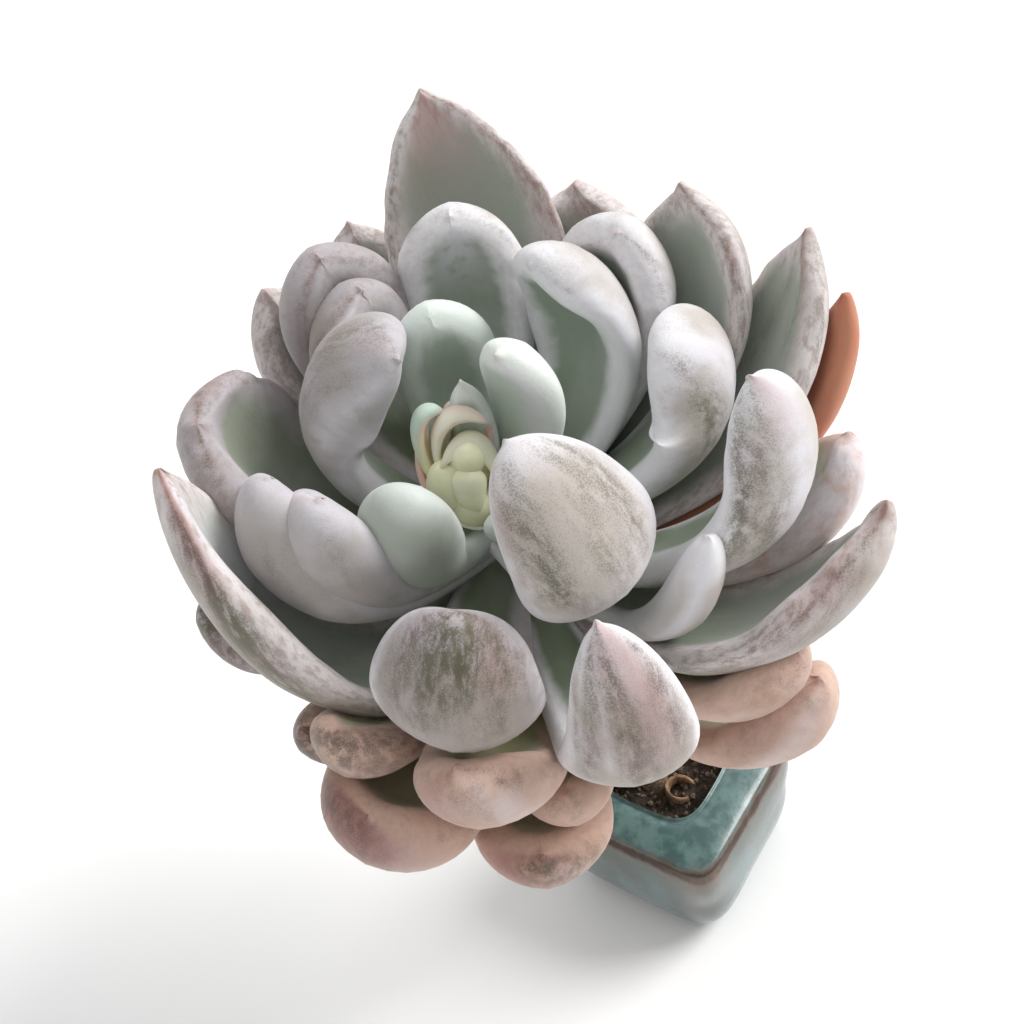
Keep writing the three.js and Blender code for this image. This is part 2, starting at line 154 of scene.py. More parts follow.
def bezier(points, t):
    a, b, c, d = points
    s = 1 - t
    return a * s**3 + b * (3 * s * s * t) + c * (3 * s * t * t) + d * t**3


def onward(path, t):
    """The short step along a path from just before t to just after it."""
    reach = 0.01
    return path(min(t + reach, 1)) - path(max(t - reach, 0))


def path_length(path):
    cuts = 20
    return sum((path((i + 1) / cuts) - path(i / cuts)).length for i in range(cuts))


# From rosette coordinates, which have the heart at 0, to the plant's own, both in mm
ROSETTE = Matrix.Translation(HEART) @ Matrix.Rotation(math.radians(ROSETTE_TILT), 4, "X")


# Finishes


class Finish:
    """A material in the making, with short ways to add the nodes that it needs."""

    def __init__(self, name):
        self.material = bpy.data.materials.new(name)
        self.material.use_nodes = True
        self.tree = self.material.node_tree
        self.surface = self.tree.nodes["Principled BSDF"]

    def feed(self, socket, value):
        if isinstance(value, bpy.types.NodeSocket):
            self.tree.links.new(value, socket)
        elif isinstance(value, tuple) and len(value) == 3 and socket.type == "RGBA":
            socket.default_value = (*value, 1)
        else:
            socket.default_value = value

    def node(self, kind, settings, inputs):
        made = self.tree.nodes.new("ShaderNode" + kind)
        for name, value in settings.items():
            setattr(made, name, value)
        for name, value in inputs.items():
            self.feed(made.inputs[name], value)
        return made

    def attribute(self, name):
        return self.node("Attribute", {"attribute_name": name}, {}).outputs["Vector"]

    def place(self):
        return self.node("TexCoord", {}, {}).outputs["Object"]

    def split(self, vector):
        return self.node("SeparateXYZ", {}, {0: vector}).outputs

    def math(self, operation, a, b=0.0):
        return self.node("Math", {"operation": operation}, {0: a, 1: b}).outputs[0]

    def times(self, *values):
        product = values[0]
        for value in values[1:]:
            product = self.math("MULTIPLY", product, value)
        return product

    def fade(self, value, low, high):
        """0 below low, 1 above high, and smooth between them; high may be the lower one."""
        ends = {"Value": value, "From Min": low, "From Max": high}
        return self.node("MapRange", {"interpolation_type": "SMOOTHSTEP"}, ends).outputs[0]

    def cloud(self, vector, scale, detail=2.0, roughness=0.5):
        inputs = {"Vector": vector, "Scale": scale, "Detail": detail, "Roughness": roughness}
        return self.node("TexNoise", {}, inputs).outputs[0]

    def long_cloud(self, vector, squeeze, scale, detail=2.0, roughness=0.5):
        """A cloud pattern drawn out along the third direction."""
        longer = self.node("Mapping", {}, {"Vector": vector, "Scale": (1, 1, squeeze)}).outputs[0]
        return self.cloud(longer, scale, detail, roughness)

    def mix(self, amount, first, second):
        made = self.node("Mix", {"data_type": "RGBA"}, {0: amount})
        self.feed(made.inputs[6], first)
        self.feed(made.inputs[7], second)
        return made.outputs[2]

    def bump(self, height, distance, strength=1.0, below=None):
        made = self.node("Bump", {}, {"Height": height, "Distance": distance, "Strength": strength})
        if below is not None:
            self.feed(made.inputs["Normal"], below)
        return made.outputs[0]

    def done(self, **sockets):
        for name, value in sockets.items():
            self.feed(self.surface.inputs[name.replace("_", " ")], value)
        return self.material


# The waxy bloom where it is thickest, the two tones of the specks where it has worn off,
# and the brown of frayed margins
BLOOM = (0.77, 0.755, 0.81)
OLIVE_SPECK = (0.115, 0.105, 0.065)
MAUVE_SPECK = (0.155, 0.1, 0.085)
FRAY = (0.37, 0.255, 0.215)
# How far light sinks into the flesh in metres, and the shares of that for each colour
FLESH_DEPTH = 0.003
LEAF_DEPTHS = (0.5, 0.7, 0.4)
BRACT_DEPTHS = (0.8, 0.7, 0.3)


def leaf_finish(name, face, back, rim, tip, foot, speckle, bloom, fray):
    """A leaf's skin: grey-green flesh under a pale bloom, worn off in bands of fine dark specks."""
    skin = Finish(name)
    across, through, along = skin.split(skin.attribute("leaf_form"))[:3]
    red, dark, pale = skin.split(skin.attribute("leaf_marks"))[:3]
    spot = skin.attribute("leaf_place")
    clouds = skin.cloud(spot, 60, 3)
    drift = skin.cloud(spot, 180, 3)
    wisps = skin.long_cloud(spot, 0.35, 650, 3, 0.65)
    streaks = skin.long_cloud(spot, 0.14, 150)
    stipple = skin.cloud(spot, 4600, 1)
    wander = skin.math("SUBTRACT", drift, 0.5)
    behind = skin.fade(through, 0.25, -0.25)
    side = skin.math("ABSOLUTE", across)
    margin = skin.math("MAXIMUM", side, skin.fade(along, 0.7, 1.05))
    margin = skin.math("ADD", margin, skin.times(wander, 0.35))

    colour = skin.mix(behind, face, back)
    # Painted shade: towards its base the leaf darkens to the foot colour, where it lies under the other
    # leaves
    colour = skin.mix(skin.times(skin.fade(along, 0.62, 0.2), 0.9), colour, foot)
    hazy = skin.math("ADD", 0.35, skin.times(behind, 0.65))
    colour = skin.mix(skin.times(skin.fade(clouds, 0.42, 0.68), hazy, bloom), colour, BLOOM)
    colour = skin.mix(skin.times(skin.fade(margin, 0.55, 0.95), 0.92), colour, rim)
    colour = skin.mix(skin.times(skin.fade(drift, 0.2, 0.55), pale), colour, BLOOM)
    frayed = skin.times(skin.fade(margin, 0.6, 0.95), skin.fade(wisps, 0.42, 0.68), fray)
    colour = skin.mix(frayed, colour, FRAY)
    colour = skin.mix(skin.times(skin.fade(clouds, 0.15, 0.6), red), colour, tip)

    bands = skin.times(skin.fade(streaks, 0.46, 0.62), skin.fade(side, 0.97, 0.8))
    bands = skin.times(bands, skin.fade(along, 0.3, 0.55), behind, speckle)
    worn = skin.math("ADD", bands, dark)
    worn = skin.times(worn, skin.fade(wisps, 0.2, 0.66))
    specks = skin.fade(skin.math("ADD", stipple, skin.times(worn, 0.2)), 0.54, 0.7)
    tone = skin.mix(skin.fade(clouds, 0.42, 0.58), OLIVE_SPECK, MAUVE_SPECK)
    colour = skin.mix(skin.times(worn, 0.42), colour, tone)
    depth = skin.math("ADD", 0.12, skin.times(worn, 0.5))
    colour = skin.mix(skin.times(specks, depth), colour, tone)

    relief = skin.bump(stipple, 0.0002, 0.25)
    relief = skin.bump(skin.long_cloud(spot, 0.3, 300, 3), 0.0009, 0.25, relief)
    skin.feed(skin.surface.inputs["Subsurface Radius"], LEAF_DEPTHS)
    return skin.done(
        Base_Color=colour,
        Roughness=skin.math("SUBTRACT", 0.66, skin.times(specks, worn, 0.15)),
        Normal=relief,
        Subsurface_Weight=0.12,
        Subsurface_Scale=FLESH_DEPTH,
        Specular_IOR_Level=0.35,
        Sheen_Weight=0.2,
        Sheen_Roughness=0.5,
    )


# What clouds a bract, its palest places, the orange-brown painted shade inside its curls, and its pink
# edges and tips
BRACT_HAZE = (0.8, 0.8, 0.66)
BRACT_PALE = (0.84, 0.82, 0.7)
BRACT_AMBER_SHADE = (0.56, 0.33, 0.16)
BRACT_PINK = (0.84, 0.44, 0.42)


def bract_finish(name, low, high, outside):
    """A bract of the young shoot: tender yellow-green flesh, with pink edges and tips."""
    skin = Finish(name)
    across, through, along = skin.split(skin.attribute("leaf_form"))[:3]
    pink, amber_shade, pale = skin.split(skin.attribute("leaf_marks"))[:3]
    spot = skin.attribute("leaf_place")
    side = skin.math("ABSOLUTE", across)
    clouds = skin.cloud(spot, 260, 3)
    colour = skin.mix(skin.fade(along, 0.0, 0.7), low, high)
    behind = skin.times(skin.fade(through, 0.2, -0.5), skin.fade(along, 0.3, 0.7))
    colour = skin.mix(behind, colour, outside)
    colour = skin.mix(skin.times(skin.fade(clouds, 0.4, 0.7), 0.35), colour, BRACT_HAZE)
    colour = skin.mix(pale, colour, BRACT_PALE)
    # Painted shade: the dark marks tint the bract orange-brown where it lies in shadow inside its curls
    colour = skin.mix(amber_shade, colour, BRACT_AMBER_SHADE)
    uneven_side = skin.math("ADD", side, skin.times(skin.math("SUBTRACT", clouds, 0.5), 0.3))
    edge = skin.times(skin.fade(uneven_side, 0.86, 1.02), 0.45, skin.fade(along, 0.45, 0.75))
    colour = skin.mix(skin.math("MAXIMUM", edge, pink), colour, BRACT_PINK)
    relief = skin.bump(skin.long_cloud(spot, 0.2, 900), 0.0003, 0.3)
    skin.feed(skin.surface.inputs["Subsurface Radius"], BRACT_DEPTHS)
    return skin.done(
        Base_Color=colour,
        Roughness=0.5,
        Normal=relief,
        Subsurface_Weight=0.3,
        Subsurface_Scale=FLESH_DEPTH,
        Specular_IOR_Level=0.4,
    )


# The glaze: two tones of the wall and two of the shoulder; smoky below the ridge, thick above the foot,
# thin and thinnest on the ridge, run and worn at the corners, and speckled; and the bare clay
GLAZE_WALL = ((0.115, 0.15, 0.145), (0.175, 0.25, 0.255))
GLAZE_SHOULDER = ((0.06, 0.125, 0.125), (0.13, 0.225, 0.22))
GLAZE_SMOKY = (0.13, 0.125, 0.1)
GLAZE_THICK = (0.12, 0.17, 0.17)
GLAZE_THIN = (0.15, 0.09, 0.065)
GLAZE_THINNEST = (0.045, 0.03, 0.022)
GLAZE_RUN = (0.3, 0.19, 0.16)
GLAZE_CORNER = (0.2, 0.16, 0.135)
GLAZE_SPECK = (0.08, 0.07, 0.055)
BARE_CLAY = ((0.4, 0.25, 0.17), (0.55, 0.38, 0.27))


def glaze_finish():
    """The pot's glaze: teal, breaking to brown where it runs thin, with bare clay at the foot."""
    glaze = Finish("teal_glaze")
    spot = glaze.place()
    height = glaze.split(spot)[2]
    thin, shoulder, corner = glaze.split(glaze.attribute("glaze"))[:3]
    clouds = glaze.cloud(spot, 55, 3)
    mottle = glaze.cloud(spot, 210, 4, 0.6)
    runs = glaze.long_cloud(spot, 0.22, 240, 3, 0.6)
    wall = glaze.mix(glaze.fade(clouds, 0.35, 0.68), *GLAZE_WALL)
    top = glaze.mix(glaze.fade(mottle, 0.36, 0.64), *GLAZE_SHOULDER)
    colour = glaze.mix(shoulder, wall, top)
    below_shoulder = glaze.fade(shoulder, 0.6, 0.1)
    smoky = glaze.fade(glaze.math("ADD", height, glaze.times(runs, 0.012)), 0.027, 0.036)
    colour = glaze.mix(glaze.times(smoky, 0.55, below_shoulder), colour, GLAZE_SMOKY)
    colour = glaze.mix(glaze.times(glaze.fade(height, 0.012, 0.003), 0.5), colour, GLAZE_THICK)
    worn = glaze.math("ADD", thin, glaze.times(glaze.math("SUBTRACT", runs, 0.5), 0.8))
    colour = glaze.mix(glaze.times(glaze.fade(worn, 0.12, 0.5), 0.9), colour, GLAZE_THIN)
    colour = glaze.mix(glaze.times(glaze.fade(worn, 0.4, 0.75), 0.9), colour, GLAZE_THINNEST)
    streak = glaze.times(corner, glaze.fade(height, 0.024, 0.029), glaze.fade(height, 0.033, 0.031), 0.6)
    colour = glaze.mix(glaze.times(streak, glaze.fade(runs, 0.4, 0.6)), colour, GLAZE_RUN)
    edge = glaze.times(corner, below_shoulder, glaze.fade(height, 0.004, 0.02), 0.5)
    colour = glaze.mix(edge, colour, GLAZE_CORNER)
    specks = glaze.fade(glaze.cloud(spot, 1500), 0.66, 0.73)
    colour = glaze.mix(glaze.times(specks, 0.35), colour, GLAZE_SPECK)
    clay = glaze.fade(glaze.math("ADD", height, glaze.times(mottle, 0.0006)), 0.0012, 0.0009)
    grain = glaze.cloud(spot, 1800, 3, 0.7)
    bare = glaze.mix(glaze.fade(grain, 0.4, 0.6), *BARE_CLAY)
    colour = glaze.mix(clay, colour, bare)
    matt = glaze.math("MAXIMUM", clay, glaze.times(glaze.fade(worn, 0.2, 0.6), 0.8))
    relief = glaze.bump(glaze.cloud(spot, 140), 0.0008, 0.25)
    return glaze.done(
        Base_Color=colour,
        Roughness=glaze.math("ADD", 0.2, glaze.times(matt, 0.65)),
        Normal=glaze.bump(grain, 0.0002, 0.3, relief),
        Coat_Weight=glaze.math("SUBTRACT", 0.4, glaze.times(matt, 0.4)),
        Coat_Roughness=0.15,
    )


def rough_finish(name, dark, light, scale, roughness, relief_depth):
    """Soil, bark and dry matter: two tones in clumps and grains, with a rough relief."""
    matter = Finish(name)
    spot = matter.place()
    clumps = matter.cloud(spot, scale, 4, 0.6)
    grains = matter.cloud(spot, scale * 6, 3, 0.7)
    mixed = matter.math("ADD", matter.times(clumps, 0.55), matter.times(grains, 0.45))
    colour = matter.mix(matter.fade(mixed, 0.4, 0.62), dark, light)
    return matter.done(
        Base_Color=colour,
        Roughness=roughness,
        Normal=matter.bump(mixed, relief_depth, 0.8),
    )


# For each kind of skin, most of them named for their group of leaves: the colours of face, back, rim, tip
# and foot, the foot's darker colour being painted shade where the leaves crowd over each other, then how
# strong are the speckled bands on its back, its cloudy bloom and its frayed margin
LEAF_LOOKS = {
    # The young skin is its own pale green made paler still, painted light on the young leaves that the
    # light reaches
    "young": (
        (0.6, 0.69, 0.6), (0.76, 0.83, 0.77), (0.84, 0.88, 0.84),
        (0.66, 0.5, 0.42), (0.26, 0.33, 0.21), 0.0, 0.3, 0.0),
    "olive": (
        (0.4, 0.46, 0.37), (0.42, 0.46, 0.4), (0.66, 0.7, 0.68),
        (0.5, 0.36, 0.33), (0.2, 0.25, 0.16), 0.0, 0.35, 0.05),
    # The shaded skin is the young skin dimmed, painted shade
    "shaded": (
        (0.44, 0.52, 0.43), (0.66, 0.73, 0.67), (0.72, 0.78, 0.74),
        (0.6, 0.46, 0.4), (0.2, 0.26, 0.17), 0.0, 0.25, 0.0),
    # The next skin is the inner skin dimmed, painted shade for inner leaves on the side away from the light
    "painted_shade_inner": (
        (0.32, 0.37, 0.31), (0.42, 0.385, 0.37), (0.57, 0.55, 0.59),
        (0.5, 0.3, 0.29), (0.17, 0.21, 0.14), 0.2, 0.3, 0.12),
    "inner": (
        (0.355, 0.42, 0.34), (0.55, 0.5, 0.46), (0.88, 0.87, 0.91),
        (0.52, 0.29, 0.28), (0.2, 0.25, 0.16), 0.2, 0.45, 0.05),
    "middle": (
        (0.3, 0.35, 0.28), (0.47, 0.42, 0.385), (0.9, 0.88, 0.92),
        (0.44, 0.24, 0.23), (0.16, 0.2, 0.125), 0.3, 0.4, 0.14),
    # The next skin is partly a purplish mottled skin of its own, partly painted shade: a dimmer back and
    # rims for leaves on the side away from the light
    "mauve_with_painted_shade": (
        (0.27, 0.3, 0.235), (0.39, 0.335, 0.31), (0.47, 0.435, 0.465),
        (0.34, 0.185, 0.175), (0.15, 0.18, 0.11), 0.3, 0.3, 0.35),
    "outer": (
        (0.41, 0.46, 0.395), (0.43, 0.37, 0.325), (0.76, 0.71, 0.71),
        (0.4, 0.215, 0.2), (0.17, 0.21, 0.13), 0.5, 0.35, 0.6),
    "lower": (
        (0.4, 0.38, 0.22), (0.55, 0.35, 0.265), (0.68, 0.47, 0.385),
        (0.34, 0.135, 0.12), (0.22, 0.23, 0.12), 0.35, 0.25, 0.3),
    "ember": (
        (0.58, 0.21, 0.11), (0.56, 0.19, 0.09), (0.6, 0.25, 0.15),
        (0.48, 0.16, 0.11), (0.2, 0.21, 0.13), 0.0, 0.05, 0.15),
}
LEAF_SKINS = {kind: leaf_finish(kind + "_leaf_skin", *looks) for kind, looks in LEAF_LOOKS.items()}
TENDER_GREEN = (0.86, 0.83, 0.44)
PALE_GREEN = (0.97, 0.95, 0.66)
BLUE_GREEN = (0.56, 0.68, 0.6)
CREAM = (0.94, 0.92, 0.76)
ROSE = (0.86, 0.58, 0.54)
BRACT_SKINS = {
    "yellow": bract_finish("yellow_bract_skin", TENDER_GREEN, PALE_GREEN, PALE_GREEN),
    "blue": bract_finish("blue_green_bract_skin", TENDER_GREEN, PALE_GREEN, BLUE_GREEN),
    "cream": bract_finish("cream_bract_skin", TENDER_GREEN, CREAM, CREAM),
    "rose": bract_finish("rose_bract_skin", CREAM, ROSE, ROSE),
}
GLAZE = glaze_finish()
SOIL = rough_finish("potting_soil", (0.012, 0.008, 0.006), (0.075, 0.047, 0.03), 260, 0.95, 0.0012)
GRIT = rough_finish("soil_grit", (0.05, 0.034, 0.024), (0.26, 0.2, 0.15), 400, 0.9, 0.0004)
BARK = rough_finish("stem_bark", (0.1, 0.065, 0.04), (0.34, 0.25, 0.16), 220, 0.9, 0.001)
DRY = rough_finish("dry_leaf_skin", (0.16, 0.09, 0.05), (0.42, 0.26, 0.15), 300, 0.85, 0.0006)


# Meshes


def piece(bm, name, finish, slot, *nodes):
    """Turns a bmesh into a piece of the plant that stands for its solids."""
    mesh = bpy.data.meshes.new(name)
    bm.to_mesh(mesh)
    bm.free()
    mesh.polygons.foreach_set("use_smooth", [True] * len(mesh.polygons))
    mesh.materials.append(finish)
    made = bpy.data.objects.new(name, mesh)
    bpy.context.scene.collection.objects.link(made)
    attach(made, "root")
    if nodes:
        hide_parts(*nodes)
    return made


def set_in_place(bm, place):
    """Points the faces outwards and takes a mesh from its own millimetres to its place in metres."""
    bmesh.ops.recalc_face_normals(bm, faces=bm.faces)
    bm.transform(place)


def drawn_out(around_steps, along_steps, place):
    """A ball drawn out along a path: place(even, around, vert) gives each of its points."""
    bm = bmesh.new()
    bmesh.ops.create_uvsphere(bm, u_segments=around_steps, v_segments=along_steps, radius=1)
    for vert in bm.verts:
        even = math.acos(clamp(-vert.co.z, -1, 1)) / math.pi
        vert.co = place(even, math.atan2(vert.co.y, vert.co.x), vert)
    return bm


# How full a leaf's rims and faces are (1 is an ellipse), and where along it the leaf is widest and thickest
RIM_FULLNESS = 0.85
FACE_FULLNESS = 0.8
WIDEST = 0.66
THICKEST = 0.76
# How bluntly its thickness ends (2 is an ellipse), and how much it swells towards its end, as a share
BLUNT_END = 2.4
END_SWELL = 0.22
# Its foot's width, thickness and cup, as shares of the full ones
FOOT_WIDTH = 0.4
FOOT_THICKNESS = 0.7
FOOT_CUP = 0.35
# How deep its inner face is dished and how flat its back is, as shares of its thickness
DISH = 0.1
FLAT_BACK = 0.07
# What uneven growth adds: ripples as a share of its width, then scallops, flutter and dents in mm
RIPPLE = 0.07
SCALLOP = 1.3
FLUTTER = 1.6
DENT = 0.7
# How many facets a leaf has around it and along it
LEAF_STEPS = (48, 64)
HEART_LEAF_STEPS = (28, 36)
BRACT_STEPS = (36, 48)
BUD_STEPS = (32, 32)
# How far apart in mm the patterns of two pieces lie, so that no two look alike
APART = 97

# A leaf's shape: full width and thickness in mm, cup and turn in degrees, bluntness of its end,
# how wavy and how scalloped its margins are, and the height and radius of the small point at its end
Form = namedtuple("Form", "width thickness cup turn end waves scallops point_height point_radius")
# The last four of these, for each group of leaves and for the bracts of the shoot
HABITS = {
    "young": (0.1, 0.0, 1.3, 1.0),
    "inner": (0.3, 0.1, 0.6, 0.7),
    "middle": (0.4, 0.2, 0.6, 0.7),
    "outer": (0.9, 0.7, 1.6, 1.7),
    "lower": (0.4, 0.3, 0.9, 1.1),
    "ember": (0.6, 0.4, 1.8, 1.8),
    "shoot": (0.0, 0.0, 0.7, 0.7),
}

# Leaves without a point at the end, and leaves whose skin isn't that of their group
BLUNT_LEAVES = ("leaf_middle_05", "leaf_inner_03", "leaf_inner_04", "leaf_lower_06", "leaf_middle_02")
# leaf_middle_09 takes the paler inner skin as painted light on the side the light falls on
OTHER_SKINS = {
    "leaf_inner_03": "olive", "leaf_inner_04": "shaded", "leaf_middle_09": "inner",
    "leaf_inner_05": "painted_shade_inner", "leaf_inner_07": "painted_shade_inner", "leaf_middle_03": "painted_shade_inner",
    "leaf_middle_04": "mauve_with_painted_shade", "leaf_middle_05": "mauve_with_painted_shade", "leaf_middle_10": "mauve_with_painted_shade",
    "leaf_middle_11": "mauve_with_painted_shade", "leaf_lower_05": "mauve_with_painted_shade",
}
